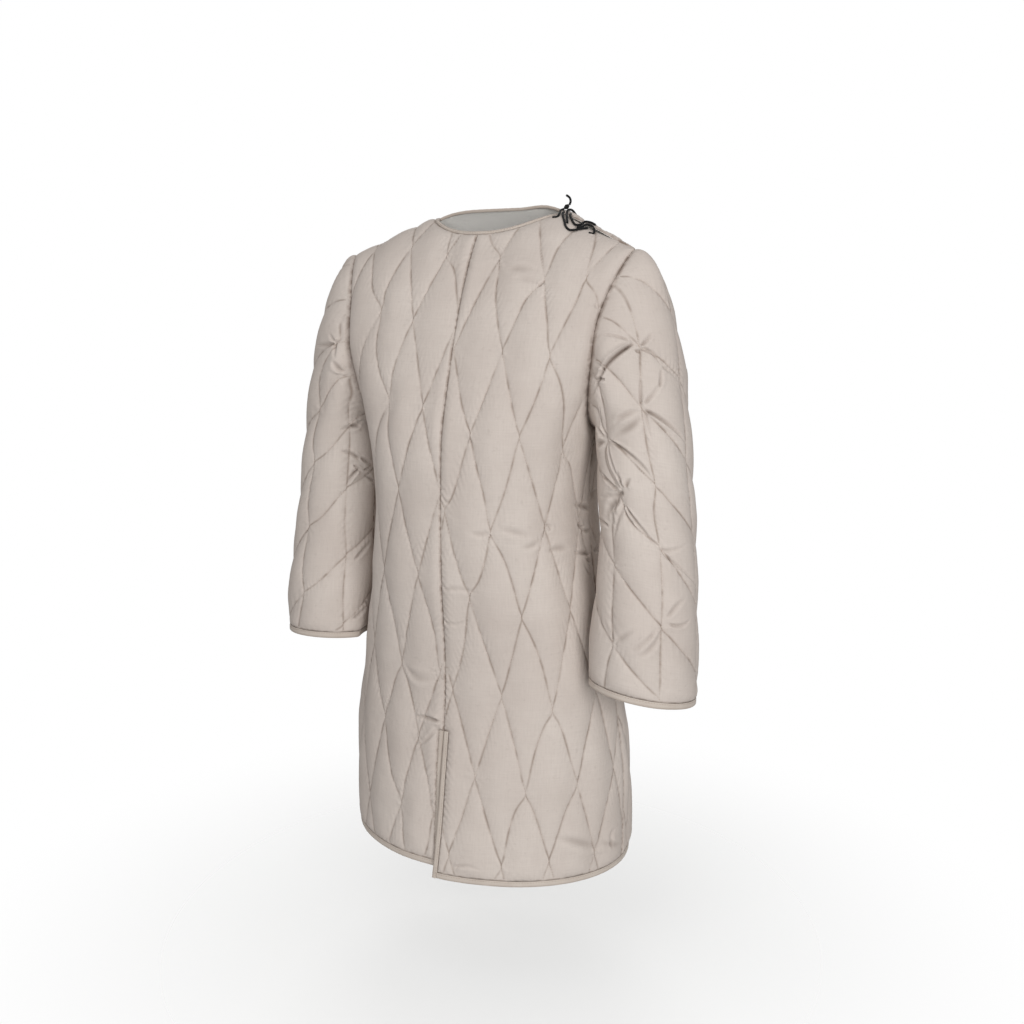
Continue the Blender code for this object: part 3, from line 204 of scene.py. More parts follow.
# A crease is a trough between two low banks. Each row has its start, the middle of its run and its end, half
# its width, its depth and its lean, by which one bank is the higher, all but lean in millimetres. Narrow ones
# are deepest near their start, and wide ones in the middle.
Crease = namedtuple("Crease", "u0 v0 u1 v1 u2 v2 half_width depth lean", defaults=(0.0,))
CREASES = {
    "sleeve_left": [
        # pinched at the crossings over the upper arm
        (71, 516, 113, 481, 164, 432, 2.8, 7.6, 0.5), (62, 514, 53, 523, 44, 535, 2.4, 3.5),
        (59, 511, 44, 505, 35, 490, 2.4, 2.8), (77, 519, 96, 523, 118, 527, 2.4, 2.5),
        (72, 507, 65, 505, 57, 514, 2.2, 4.0), (122, 468, 130, 478, 150, 486, 2.6, 3.0),
        (125, 457, 141, 456, 155, 455, 2.8, 4.0), (41, 459, 37, 474, 35, 486, 2.8, 3.0),
        (32, 489, 23, 486, 6, 478, 2.6, 2.2),
        # from the crossing above the elbow
        (66, 423, 38, 414, -9, 387, 2.8, 5.0, 0.3), (71, 429, 70, 444, 68, 468, 2.4, 3.2),
        (65, 432, 52, 448, 39, 465, 3.0, 3.0), (71, 423, 95, 411, 116, 396, 4.0, 3.5, 0.4),
        (70, 417, 89, 396, 125, 373, 5.5, 4.0, 0.3), (66, 423, 62, 405, 59, 384, 2.4, 2.2),
        # at the elbow
        (130, 369, 89, 355, 57, 327, 2.8, 4.5, -0.3), (134, 375, 152, 391, 152, 420, 2.4, 2.4),
        (143, 372, 158, 378, 172, 386, 3.0, 3.0), (134, 364, 122, 334, 108, 312, 2.4, 3.0),
        (141, 366, 158, 360, 172, 357, 4.0, 4.0), (158, 322, 138, 309, 114, 301, 2.8, 3.8),
        (107, 307, 111, 318, 114, 331, 2.6, 3.0), (102, 309, 99, 316, 93, 324, 3.0, 4.5),
        (108, 301, 126, 292, 162, 282, 3.8, 4.4, 0.4), (111, 292, 132, 279, 155, 253, 5.4, 4.5, -0.3),
        (110, 282, 125, 258, 140, 225, 3.0, 2.5), (108, 282, 90, 255, 69, 232, 2.6, 3.8),
        (150, 243, 168, 246, 184, 244, 3.0, 3.4),
        # over the forearm
        (66, 228, 50, 228, 20, 240, 3.0, 2.2), (63, 226, 39, 207, -23, 171, 2.4, 2.4),
        (57, 124, 38, 123, 21, 132, 2.8, 2.8), (59, 132, 45, 151, 30, 160, 3.4, 2.8),
        (66, 114, 81, 87, 101, 66, 4.0, 2.7), (75, 111, 93, 88, 108, 75, 3.4, 2.8),
        (135, 81, 122, 91, 102, 111, 4.0, 2.2),
        # on its hidden side
        (-52, 500, -85, 486, -128, 452, 3.4, 6.0, 0.4), (-50, 507, -62, 520, -68, 533, 2.6, 3.2),
        (-52, 496, -50, 478, -46, 462, 2.4, 3.0), (-128, 395, -100, 388, -70, 372, 3.2, 4.6),
        (-132, 392, -150, 380, -175, 374, 3.2, 3.5), (-130, 386, -128, 366, -135, 345, 2.4, 2.8),
        (-160, 300, -130, 286, -100, 282, 3.8, 4.6, 0.3), (-162, 294, -150, 270, -146, 250, 3.0, 3.5),
        (-168, 302, -186, 310, -205, 308, 3.2, 3.8), (-60, 250, -85, 236, -110, 212, 3.2, 3.0),
        (-120, 130, -105, 112, -80, 100, 3.6, 2.6), (205, 300, 218, 280, 222, 255, 3.2, 3.4),
    ],
    "sleeve_right": [
        (110, 483, 96, 477, 68, 474, 3.2, 4.2, 0.4), (110, 483, 113, 490, 116, 498, 2.4, 3.0),
        (113, 484, 117, 471, 128, 457, 2.6, 3.4), (111, 486, 102, 490, 95, 498, 2.4, 2.8),
        (147, 435, 137, 442, 125, 453, 3.2, 5.6, 0.4), (147, 429, 152, 429, 156, 432, 2.6, 3.4),
        (143, 448, 150, 436, 156, 430, 2.8, 4.2), (156, 429, 162, 415, 167, 403, 3.4, 5.8, 0.3),
        (174, 343, 188, 348, 200, 352, 3.0, 3.6), (194, 274, 183, 265, 174, 247, 3.2, 5.4, 0.4),
        (183, 282, 192, 276, 200, 270, 2.6, 3.4), (228, 255, 219, 259, 207, 265, 3.0, 3.8),
        (203, 273, 213, 277, 222, 281, 2.8, 3.2), (194, 291, 176, 300, 158, 303, 3.2, 4.4),
        (194, 294, 210, 286, 222, 280, 3.0, 3.8), (195, 345, 177, 342, 156, 337, 3.2, 4.2),
        (191, 127, 209, 144, 222, 155, 3.2, 3.2), (188, 30, 206, 42, 220, 52, 3.0, 2.8),
        (215, 60, 220, 52, 226, 44, 2.6, 2.6),
        # on its hidden side
        (-60, 440, -85, 452, -112, 470, 3.4, 5.2, 0.4), (-62, 434, -78, 420, -104, 410, 3.0, 4.0),
        (-140, 368, -112, 362, -84, 346, 3.2, 4.6), (-140, 362, -150, 346, -156, 322, 2.6, 3.2),
        (-62, 230, -92, 236, -120, 250, 3.4, 4.4, 0.3), (-60, 224, -76, 206, -98, 196, 2.8, 3.2),
        (-144, 262, -164, 256, -190, 262, 3.2, 3.6), (-60, 122, -84, 112, -110, 94, 3.4, 3.0),
        (20, 300, 2, 288, -20, 284, 3.0, 2.8),
    ],
    "front_left": [
        # at the side of the waist
        (270, 489, 257, 494, 222, 502, 3.4, 5.4, 0.5), (276, 478, 263, 484, 249, 491, 3.0, 4.2),
        (276, 556, 255, 565, 224, 572, 3.6, 5.0, 0.3), (254, 535, 242, 539, 230, 560, 3.2, 4.0),
        (276, 526, 265, 527, 254, 529, 3.0, 4.6), (266, 460, 257, 468, 248, 478, 2.8, 3.4),
        # under the neck and at the shoulder
        (119, 896, 123, 899, 128, 907, 2.6, 2.4), (126, 914, 93, 925, 66, 919, 5.0, 1.3),
        (119, 898, 96, 905, 74, 904, 4.4, 1.2),
        # over the chest and belly
        (50, 538, 66, 536, 82, 539, 4.0, 1.8), (92, 544, 117, 541, 140, 533, 5.0, 1.9),
        (158, 529, 143, 520, 125, 518, 4.4, 2.0), (165, 550, 174, 544, 170, 538, 2.6, 2.6),
        (2, 589, 9, 580, 17, 581, 2.8, 3.0), (4, 448, 30, 452, 66, 447, 3.6, 1.6),
        (4, 401, 21, 397, 44, 405, 3.0, 1.5), (212, 506, 190, 512, 166, 508, 5.0, 2.8),
        # near the hem and the armhole
        (327, 32, 290, 43, 261, 59, 5.0, 2.6), (291, 37, 284, 61, 296, 68, 3.6, 2.0),
        (180, 78, 224, 64, 272, 40, 7.0, 3.0), (30, 23, 47, 29, 71, 26, 3.2, 2.0),
        (225, 878, 227, 887, 228, 896, 2.6, 2.6), (216, 856, 213, 863, 210, 868, 2.6, 2.4),
        (56, 931, 87, 919, 130, 893, 8.0, 1.6),
    ],
    "front_right": [
        (3, 242, 30, 244, 53, 241, 3.2, 4.6, 0.4), (5, 243, 11, 228, 48, 193, 3.2, 4.2, 0.3),
        (15, 315, 53, 307, 72, 319, 5.0, 2.4), (12, 309, 44, 300, 66, 304, 4.6, 2.2),
        (262, 600, 225, 588, 180, 594, 4.6, 4.4, 0.3), (266, 552, 232, 544, 190, 552, 3.8, 4.6, 0.4),
        (268, 512, 236, 508, 196, 518, 3.6, 4.2), (264, 486, 250, 492, 234, 500, 3.0, 3.4),
    ],
    "back": [
        (258, 572, 232, 576, 190, 588, 4.0, 4.0, 0.4), (256, 496, 226, 492, 180, 500, 4.2, 3.4, 0.3),
        (232, 486, 246, 482, 258, 477, 3.0, 2.8), (-264, 552, -228, 548, -184, 560, 3.8, 5.0, 0.4),
        (-262, 510, -214, 500, -156, 512, 4.4, 4.6, 0.3), (-266, 474, -248, 470, -226, 478, 3.0, 3.4),
        (-70, 610, -10, 600, 60, 612, 7.5, 3.0), (-40, 560, 20, 552, 90, 566, 6.5, 3.0),
        (0, 545, -22, 536, -48, 540, 3.4, 2.6), (117, 545, 140, 538, 150, 526, 3.0, 2.8),
        (-117, 672, -134, 664, -140, 650, 3.0, 2.4), (120, 860, 165, 835, 200, 800, 6.5, 3.0),
        (-200, 800, -160, 838, -115, 862, 6.5, 3.0), (-190, 90, -220, 74, -262, 66, 5.0, 2.6),
        # a soft ridge, where the cloth stands out under the left arm
        (212, 585, 214, 532, 212, 480, 14.0, -4.0),
    ],
}
CREASES = {piece: [Crease(*row) for row in rows] for piece, rows in CREASES.items()}
WIDE_FROM = 3.9  # half width
GROWN_AT = 0.16  # share of its run from which a narrow one has its depth
CREASE_REACH, INSIDE_REACH = 0.0042, 2.2  # how far off it ends, by its half width and by what it is wider
CREASE_STRETCHES = 10
CREASE_SIDES = (0, 0.45, 0.9, 1.4, 2.1)  # rows of mesh points beside a crease, in half widths
DEEPEST = 0.0098
BANK, BANK_OFF = 0.42, 1.8  # the banks' height in depths, and how far off they are in half widths
INSIDE_WIDER, INSIDE_DEEPER = 0.005, 1.15  # the inside's trough is this much wider on each side, and deeper
# Painted shade: the cloth's colour darkens in a crease's trough, most from this depth on
CREASE_SHADE_DEPTH = 0.0055  # the cloth is darkest from this depth on

# Where the quilting's crossings lie off their even lattice, pulled by folds and by hand sewing: the crossing
# and how far it moves, in millimetres
PULLS = {
    "sleeve_left": [
        (67, 534, -3, -21), (67, 430, 3, -4), (145, 396, -10, -26), (145, 292, -26, 5), (67, 326, -11, -5),
        (67, 222, -2, 9), (145, 84, -8, -5), (-90, 498, 5, -14), (-90, 290, -8, 9), (-12, 464, 4, 12),
    ],
    "sleeve_right": [
        (96, 474, 19, 9), (174, 440, -19, -8), (174, 336, -1, 9), (174, 232, 0, 11), (174, 128, 3, 8),
        (96, 370, 14, -1), (96, 266, 10, 16), (96, 162, 8, 15), (96, 58, 10, 12), (-62, 334, -6, 10),
    ],
    "front_left": [
        (46, 672, 1, 7), (124, 672, -2, 6), (202, 672, -8, -14), (87, 545, -6, -5), (51, 419, -4, 21),
        (129, 419, -3, -6), (40, 924, 8, 19), (119, 924, 8, -17), (160, 798, -6, -7), (197, 924, -9, -16),
        (9, 545, -2, 20), (171, 293, 0, -21), (134, 167, 2, -21), (213, 167, 4, -10), (98, 41, 6, -9),
    ],
    "front_right": [
        (33, 970, 8, -21), (152, 844, -15, 13), (115, 718, -14, 3), (3, 340, 5, -22), (81, 340, 1, -19),
        (122, 214, -1, 14), (85, 88, -10, 14), (7, 88, 7, 8),
    ],
    "back": [
        (0, 545, 5, 9), (78, 545, -7, -8), (-117, 672, 6, -10), (117, 420, -5, 11), (39, 798, 4, 12),
        (-78, 293, 6, -9), (156, 167, -5, 10), (-39, 167, 3, 8),
    ],
}
PULL_REACH = 0.034
WANDER = 0.0009  # the stitched lines wander by about this much
SWAY, SWAY_UP, SWAY_ACROSS = 0.7, 0.009, 0.008  # lines run together at a crossing: how much, and within what
EVEN_ROUNDS = 12

PUCKER, PUCKER_PITCH, PUCKER_REACH = 0.0009, 0.0125, 0.0075  # small gathers along a stitched line
SEAM_PITCH, SEAM_REACH = 0.011, 0.008  # and along a seam
LINE_WIDE, CROSSING_WIDE = 0.002, 0.004  # gathers grow over this distance, from nothing on the line itself
EASY_FROM = {"sleeve": 0.49, "front": 0.86, "back": 0.84}  # above this V, a field flattens more slowly
SEAM_LIFT, LIFT_REACH = 0.0022, 0.016  # how far the seam itself rises there, and how far off it still does
PINCH, PINCH_REACH = 0.0015, 0.013  # gathers that spread from a crossing
SEAM_LESS = 0.25  # a field is this much emptier beside the upper part of an armhole
UNEVEN = ((0.16, 0.11, 5), (0.09, 0.03, 6))  # how unevenly it is filled: how much, patches' size and seed


# ---- The worn form ----


def unit(ways):
    return ways / np.linalg.norm(ways, axis=-1, keepdims=True)


def run_along(points):
    """How far each point lies along a curve. Points run along axis 0."""
    steps = np.linalg.norm(np.diff(points, axis=0), axis=-1)
    return np.concatenate([np.zeros((1,) + steps.shape[1:]), np.cumsum(steps, axis=0)])


def eased(table, at):
    """Each column of the table as a smooth curve of its first column."""
    rows = np.array(table, float)
    rows = rows[np.argsort(rows[:, 0])]
    x, y = rows[:, 0], rows[:, 1:]
    slope = np.gradient(y, x, axis=0)
    at = np.clip(np.asarray(at, float), x[0], x[-1])
    i = np.clip(np.searchsorted(x, at, side="right") - 1, 0, len(x) - 2)
    span = (x[i + 1] - x[i])[..., None]
    t = (at - x[i])[..., None] / span
    start = (2 * t**3 - 3 * t**2 + 1) * y[i] + (t**3 - 2 * t**2 + t) * span * slope[i]
    return start + (3 * t**2 - 2 * t**3) * y[i + 1] + (t**3 - t**2) * span * slope[i + 1]


def smooth(share):
    """0 to 1 with soft ends."""
    share = np.clip(share, 0, 1)
    return share * share * (3 - 2 * share)


def bezier(p0, p1, p2, p3, t):
    t = np.asarray(t, float)[..., None]
    return (1 - t) ** 3 * p0 + 3 * (1 - t) ** 2 * t * p1 + 3 * (1 - t) * t**2 * p2 + t**3 * p3


def evened(points, count):
    """The same curves with their points at even steps of length, and those lengths."""
    run, share = run_along(points), np.linspace(0, 1, count)
    out = np.empty((count,) + points.shape[1:])
    for j, axis in np.ndindex(points.shape[1:]):
        out[:, j, axis] = np.interp(share * run[-1, j], run[:, j], points[:, j, axis])
    return out, run[-1]


def ridge(face, x):
    """The shoulder line: how far behind the side seams it lies and its height, at a distance from the middle.

    Between the neck-shoulder points, the back's top edge takes its place, and the front's is cut away.
    """
    out = np.abs(x) - NECK_HALF
    back = RIDGE_BACK - RIDGE_SKEW * out
    height = -SHOULDER_FALL * out - SHOULDER_BOW * np.maximum(out, 0) ** 2
    if face == "front":
        return back, height
    inner = np.minimum(np.abs(x) / NECK_HALF, 1) ** 4
    nape = NAPE_BACK + (RIDGE_BACK - NAPE_BACK) * inner
    return np.where(out < 0, nape, back), np.where(out < 0, NAPE_RISE * (1 - inner), height)


LEVELS, SHARES, CLIMBS, TURNS = 201, 151, 121, 721
SHARED = 0.012  # the front and the back share their slope this near to the shoulder line


@lru_cache(None)
def ring_grid(face):
    """Points of one face under the chest level, and each level's length from the middle to the side seam."""
    heights = np.linspace(HEM, CHEST, LEVELS)
    turn = np.linspace(0, pi / 2, TURNS)
    rings = np.empty((TURNS, LEVELS, 2))
    for k, (half_width, front, back, square) in enumerate(eased(BODY, heights)):
        rings[:, k, 0] = half_width * np.sin(turn) ** (2 / square)
        rings[:, k, 1] = (-front if face == "front" else back) * np.cos(turn) ** (2 / square)
    rings, girth = evened(rings, SHARES)
    low = np.empty((LEVELS, SHARES, 3))
    low[..., :2] = rings.transpose(1, 0, 2)
    low[..., 2] = heights[:, None]
    return low, girth


@lru_cache(None)
def body_grids(face):
    """Points of one face on a grid: the part under the chest level, the part over it, and their lengths."""
    sign = -1 if face == "front" else 1
    low, girth = ring_grid(face)
    ahead, ahead_girth = ring_grid("front")
    share = np.linspace(0, 1, SHARES)
    start = low[-1]
    top_x = CHEST_WIDEN * np.interp(share * girth[-1], share * ahead_girth[-1], ahead[-1, :, 0])
    top_y, top_z = ridge(face, top_x)
    top = np.stack([top_x, top_y, top_z], -1)
    climb = top_z - CHEST
    lean = CHEST_LEAN * np.maximum(0, 1 - (share / LEAN_SHARE) ** 2) * (BACK_LEAN if sign > 0 else 1)
    up = start + np.stack([0 * climb, -sign * lean * CLIMB * climb, CLIMB * climb], -1)
    over = top + np.stack([0 * climb, CURL * (start[:, 1] - top_y), -SINK * climb], -1)
    ts = np.linspace(0, 1, 4 * CLIMBS)
    high, rise = evened(np.stack([bezier(start, up, over, top, t) for t in ts]), CLIMBS)
    return low, high, girth, rise


def half_girth(face, v):
    return np.interp(v + HEM, np.linspace(HEM, CHEST, LEVELS), body_grids(face)[2])


def top_v(face, u):
    """V of the shoulder line at U."""
    *_, girth, rise = body_grids(face)
    return CHEST - HEM + np.interp(np.abs(u) / girth[-1], np.linspace(0, 1, SHARES), rise)


def on_grid(grid, row, column):
    row = np.clip(row, 0, grid.shape[0] - 1)
    column = np.clip(column, 0, grid.shape[1] - 1)
    i = np.minimum(row.astype(int), grid.shape[0] - 2)
    j = np.minimum(column.astype(int), grid.shape[1] - 2)
    a, b = (row - i)[..., None], (column - j)[..., None]
    near = grid[i, j] * (1 - b) + grid[i, j + 1] * b
    far = grid[i + 1, j] * (1 - b) + grid[i + 1, j + 1] * b
    return near * (1 - a) + far * a


def on_face(face, u, v):
    """The outside of the worn form at U and V. U is negative on the wearer's right."""
    low, high, girth, rise = body_grids(face)
    around = np.abs(u)
    share = around / half_girth(face, v)
    under = on_grid(low, v / (CHEST - HEM) * (LEVELS - 1), share * (SHARES - 1))
    under[..., 2] += np.minimum(v, 0)
    length = np.interp(around / girth[-1], np.linspace(0, 1, SHARES), rise)
    climb = (v - (CHEST - HEM)) / length
    over = on_grid(high, climb * (CLIMBS - 1), around / girth[-1] * (SHARES - 1))
    point = np.where((v <= CHEST - HEM)[..., None], under, over)
    point[..., 0] *= np.where(u < 0, -1, 1)
    return point


def other(face):
    return "back" if face == "front" else "front"


def body_point(face, u, v):
    """As on_face, and past the shoulder line it goes on down the other face."""
    u, v = np.broadcast_arrays(np.asarray(u, float), np.asarray(v, float))
    past = v - top_v(face, u)
    beyond = on_face(other(face), u, top_v(other(face), u) - past)
    return np.where((past <= 0)[..., None], on_face(face, u, v), beyond)


NEAR = 0.0015  # slopes are taken between points this far on either side


def facing(place, u, v):
    """The direction square to a surface, on the side from which V is up where U goes to the right."""
    across = place(u + NEAR, v) - place(u - NEAR, v)
    return unit(np.cross(across, place(u, v + NEAR) - place(u, v - NEAR)))


def face_out(face, u, v):
    """The direction out of one face, taken just inside its own edges."""
    v = np.minimum(v, top_v(face, np.abs(u) + NEAR) - NEAR)
    edge = half_girth(face, v - NEAR) - 2 * NEAR
    return facing(partial(on_face, face), np.clip(u, -edge, edge), v) * (1 if face == "front" else -1)


def body_out(face, u, v):
    """The direction out of the worn form. Near the shoulder line, the two faces share it."""
    past = v - top_v(face, u)
    near = smooth(0.5 + past / (2 * SHARED))
    out = face_out(face, u, v) * (1 - near)[..., None]
    out += face_out(other(face), u, top_v(other(face), u) - past) * near[..., None]
    return unit(out)


def on_body(face, u, v, lift):
    u, v = np.asarray(u, float), np.asarray(v, float)
    return body_point(face, u, v) + body_out(face, u, v) * (np.asarray(lift) - WALL)[..., None]


on_front = partial(on_body, "front")


def on_back(u, v, lift):
    """A point of the back, whose edge stands proud along the open left shoulder."""
    proud = smooth((u - LIFT_FROM) / LIFT_IN) * smooth((SHOULDER_CUT - u) / LIFT_OUT)
    proud = proud * smooth(1 - (top_v("back", u) - v) / LIFT_DOWN)
    return on_body("back", u, v, lift + OPENING_LIFT * proud)


# ---- Cutting lines of the body ----


def armhole(face, t):
    """The armhole of one face in the flat, from the shoulder point at 0 to the underarm at 1."""
    inset, drop, run_in = ARMHOLES[face]
    top, side = top_v(face, SHOULDER_CUT), half_girth(face, UNDERARM)
    low, high = (side - run_in, UNDERARM), (SHOULDER_CUT - inset, top - drop)
    return bezier(*np.array([(SHOULDER_CUT, top), high, low, (side, UNDERARM)]), t)


def neck_rows(face, side):
    """Points of the neckline in the flat, from the middle to the shoulder, and the way into the cloth."""
    rows = []
    top, middle = float(top_v("front", NECK_CUT)), float(top_v("front", 0.0)) - FRONT_NECK_DROP
    low, high = NECK_HANDLES
    curve = np.array([(0.0, middle), (low, middle), (high, (top + middle) / 2), (NECK_CUT, top)])
    for share in np.linspace(0, 1, NECK_STEPS):
        if face == "back":
            corner = smooth((share - 0.75) / 0.25) if side < 0 else 0.0
            v = float(top_v("back", NECK_CUT * share)) - BACK_NECK_DROP * (1 - share**2)
            rows.append((np.array([NECK_CUT * share, v]), np.array([corner, -1.0])))
            continue
        t = share * NECK_SHARES[side]
        ahead = bezier(*curve, t + 0.005) - bezier(*curve, t - 0.005)
        rows.append((bezier(*curve, t), np.array([ahead[1], -ahead[0]]) / hypot(*ahead)))
    return rows


def neck_cut(face, side):
    """Where the cloth of a face stops short of the neck's binding."""
    return [tuple(edge + into * (NECK_BAND + WIDE_SEAM)) for edge, into in neck_rows(face, side)]


def hem_v(u):
    """Height of the hem's cut: the right front is a little shorter, and the back levels the two out."""
    return 0.0 if u > 0 else RIGHT_HEM_RISE


def on_a_front(side, u, v, lift):
    """A point of the left front, or of the right one mirrored to positive U."""
    near = smooth(1 - np.abs(u) / LAP_FADE)
    proud = 1 - np.clip(np.asarray(v, float) / SLIT, 0, 1) ** 3
    return on_front(side * np.asarray(u), v, lift + side * LAP_LIFT * proud * near)


def slit_edge(side, v):
    """U of the slit's edge. It stands a little open half way down, and the left front laps over below."""
    if side > 0:
        return SEAM_GAP / 2 - LAP * max(0.0, 1 - v / SLIT) ** LAP_CURVE
    return SEAM_GAP / 2 + SLIT_OPEN * sin(pi * min(1, v / SLIT))


def shoulder_cut(face, side):
    """The shoulder edge, from the neck out. At the open left one, the back's edge laps over the front's."""
    start = NECK_CUT + (NECK_BAND + WIDE_SEAM if side < 0 or face == "front" else 2 * SEAM_GAP)
    points = []
    for u in np.linspace(start, SHOULDER_CUT, 60)[:-1]:
        off = SEAM_GAP / 2
        if side > 0:
            over = OPENING_OVER * (1 - ((u - start) / (SHOULDER_CUT - start)) ** 2)
            under = (OPENING_LAP + SEAM_GAP) * float(smooth((OPENING_END - u) / 0.05))
            off += over - under if face == "front" else -over
        points.append((float(u), float(top_v(face, u)) - off))
    return points


def arm_shares():
    """Steps along an armhole, which end half a gap short of the seams."""
    shares = np.linspace(0, 1, ARM_STEPS + 1) ** CAP_FLAT
    shares[0], shares[-1] = ARM_ENDS
    return shares


def outer_cut(face, side):
    """The rest of half a body piece's edge: the shoulder, the armhole and the side seam down to the hem."""
    down = np.linspace(UNDERARM, hem_v(side) + HEM_BAND + SEAM_GAP, 150)[1:]
    seam = [(float(half_girth(face, v)) - SEAM_GAP / 2, float(v)) for v in down]
    return shoulder_cut(face, side) + [tuple(p) for p in armhole(face, arm_shares())] + seam


def spaced(start, end, step=0.004):
    """Points from start up to, not including, end, about a step apart."""
    start, end = np.array(start), np.array(end)
    count = max(1, round(hypot(*(end - start)) / step))
    return [tuple(start + (end - start) * k / count) for k in range(count)]


@lru_cache(None)
def front_outline(side):
    """The left front, or the right front mirrored to positive U."""
    slit = np.linspace(hem_v(side) + HEM_BAND + SEAM_GAP, SLIT, 50)
    points = [(slit_edge(side, v) + (SLIT_BAND + SEAM_GAP), float(v)) for v in slit]
    neck = neck_cut("front", side)
    neck[0] = (SEAM_GAP / 2, neck[0][1])
    points += spaced((SEAM_GAP / 2, SLIT), neck[0]) + neck[:-1] + outer_cut("front", side)
    return points + spaced(points[-1], points[0])[1:]


def back_outline():
    """The whole back, cut on the fold, going round with the wearer's right at negative U."""
    neck, neck_right = neck_cut("back", 1), neck_cut("back", -1)
    left = neck[:-1] + [(NECK_CUT + 2 * SEAM_GAP, neck[-1][1])] + outer_cut("back", 1)
    right = [(-u, v) for u, v in neck_right + outer_cut("back", -1)]
    return left + spaced(left[-1], right[-1])[1:] + right[:0:-1]


# ---- Quilting ----


class Quilting:
    """A lattice of stitched lines in the flat, from one crossing, the two sides of a field and its pulls."""

    def __init__(self, start, side_a, side_b, pulls):
        self.start = np.array(start, float)
        self.sides = np.array([side_a, side_b], float)
        self.pulls = np.array(pulls) / 1000

    def fields(self, points):
        """Where points lie, counted in fields along the two sides."""
        return (np.asarray(points, float) - self.start) @ np.linalg.inv(self.sides)

    def rise(self, points):
        """0 on the lines to 1 in the middle of a field."""
        part = self.fields(points)
        return np.abs(np.sin(pi * part[..., 0]) * np.sin(pi * part[..., 1])) ** FULLNESS

    def spacing(self):
        """Distance between neighbouring lines of each kind."""
        area = abs(np.linalg.det(self.sides))
        return area / np.linalg.norm(self.sides[::-1], axis=1)

    def shift(self, even):
        """How far folds and hand sewing pull places of the even lattice."""
        moved, total = np.zeros_like(even), np.zeros(len(even))
        for u, v, du, dv in self.pulls:
            weight = np.exp(-((even - (u, v)) ** 2).sum(axis=1) / PULL_REACH**2)
            moved += weight[:, None] * (du, dv)
            total += weight
        moved /= np.maximum(total, 1)[:, None]
        off = even - (self.start + np.round(self.fields(even)) @ self.sides)
        moved[:, 0] -= SWAY * off[:, 0] * np.exp(-((off / (SWAY_ACROSS, SWAY_UP)) ** 2).sum(axis=1))
        return moved + WANDER * np.stack([waves(even[:, 0], even[:, 1], 0.07, seed) for seed in (21, 22)], -1)

    def even(self, places):
        """Places on the cloth, as places in the even lattice, found in a few rounds."""
        spots = places
        for _ in range(EVEN_ROUNDS):
            spots = places - self.shift(spots)
        return spots

    def from_line(self, places):
        """Distance of places on the cloth from the nearest stitched line."""
        part = self.fields(self.even(places))
        return (np.abs(part - np.round(part)) * self.spacing()).min(axis=1)

    def at(self, counts):
        """Places on the cloth, from their counts of fields along the two sides."""
        even = self.start + counts @ self.sides
        return even + self.shift(even)

    def ticks(self, outline):
        """Counts along each side, in steps of the mesh, that reach past the outline."""
        counts = self.fields(outline)
        low = np.floor(counts.min(axis=0)).astype(int) - 1
        high = np.ceil(counts.max(axis=0)).astype(int) + 1
        return [np.arange(a * FIELD_STEPS, b * FIELD_STEPS + 1) / FIELD_STEPS for a, b in zip(low, high)]

    def points(self, outline):
        """The lattice's mesh points about the outline, and which lie on its lines."""
        counts = np.stack(np.meshgrid(*self.ticks(outline)), -1).reshape(-1, 2)
        on_line = (np.abs(counts - np.round(counts)) < 1e-6).any(axis=1)
        spots = self.at(counts)
        within = ((spots > np.min(outline, axis=0)) & (spots < np.max(outline, axis=0))).all(axis=1)
        return spots[within], on_line[within]


def body_quilting(name):
    across, up, lean = LATTICES[name]
    skew = lean * FIELD_RISE
    sides = (FIELD_HALF + skew, FIELD_RISE), (FIELD_HALF - skew, -FIELD_RISE)
    return Quilting((across, up), *sides, PULLS[name])


def sleeve_quilting(name, side):
    start = (CUFFS[side].first_line * SLEEVE_ROUND, CUFFS[side].lowest_cross)
    gap = 2 * pi / SLEEVE_LINES * SLEEVE_ROUND
    return Quilting(start, (0, SLEEVE_PITCH), (gap, SLEEVE_RISE), PULLS[name])


REACH = 0.025  # distances from an edge are measured up to this


def edge_distance(points, outline):
    """Distance of each point from the outline, up to the reach, negative outside it."""
    ring = np.asarray(outline, float)
    order = np.argsort(np.asarray(points, float)[:, 1])
    x, y = np.asarray(points, float)[order].T
    best, inside = np.full(len(x), REACH), np.zeros(len(x), bool)
    for a, b in zip(ring, np.roll(ring, -1, axis=0)):
        low, high = np.searchsorted(y, (min(a[1], b[1]) - REACH, max(a[1], b[1]) + REACH))
        near, d = slice(low, high), b - a
        u, v = x[near] - a[0], y[near] - a[1]
        t = np.clip((u * d[0] + v * d[1]) / max(d @ d, 1e-12), 0, 1)
        best[near] = np.minimum(best[near], np.hypot(u - t * d[0], v - t * d[1]))
        if d[1]:
            inside[near] ^= ((v < 0) != (v < d[1])) & (u < d[0] * v / d[1])
    found = np.empty(len(x))
    found[order] = np.where(inside, best, -best)
    return found


# ---- Sleeves ----

SLEEVE_ROWS, SLEEVE_COLUMNS = 241, 289


def body_side(y, z):
    """How far the body's side stands out, at a depth and a height."""
    half_width, front, back, square = np.moveaxis(eased(BODY, z), -1, 0)
    depth = np.where(y < 0, front, back)
    return half_width * np.maximum(0, 1 - (np.abs(y) / depth) ** square) ** (1 / square)


def armhole_ring(turn):
    """The armhole's edge on the form, by the angle from the shoulder point towards the front."""
    t = (np.abs(turn) / pi) ** CAP_FLAT
    ahead, behind = (body_point(face, *armhole(face, t).T) for face in ("front", "back"))
    return np.where((turn > 0)[:, None], ahead, behind)


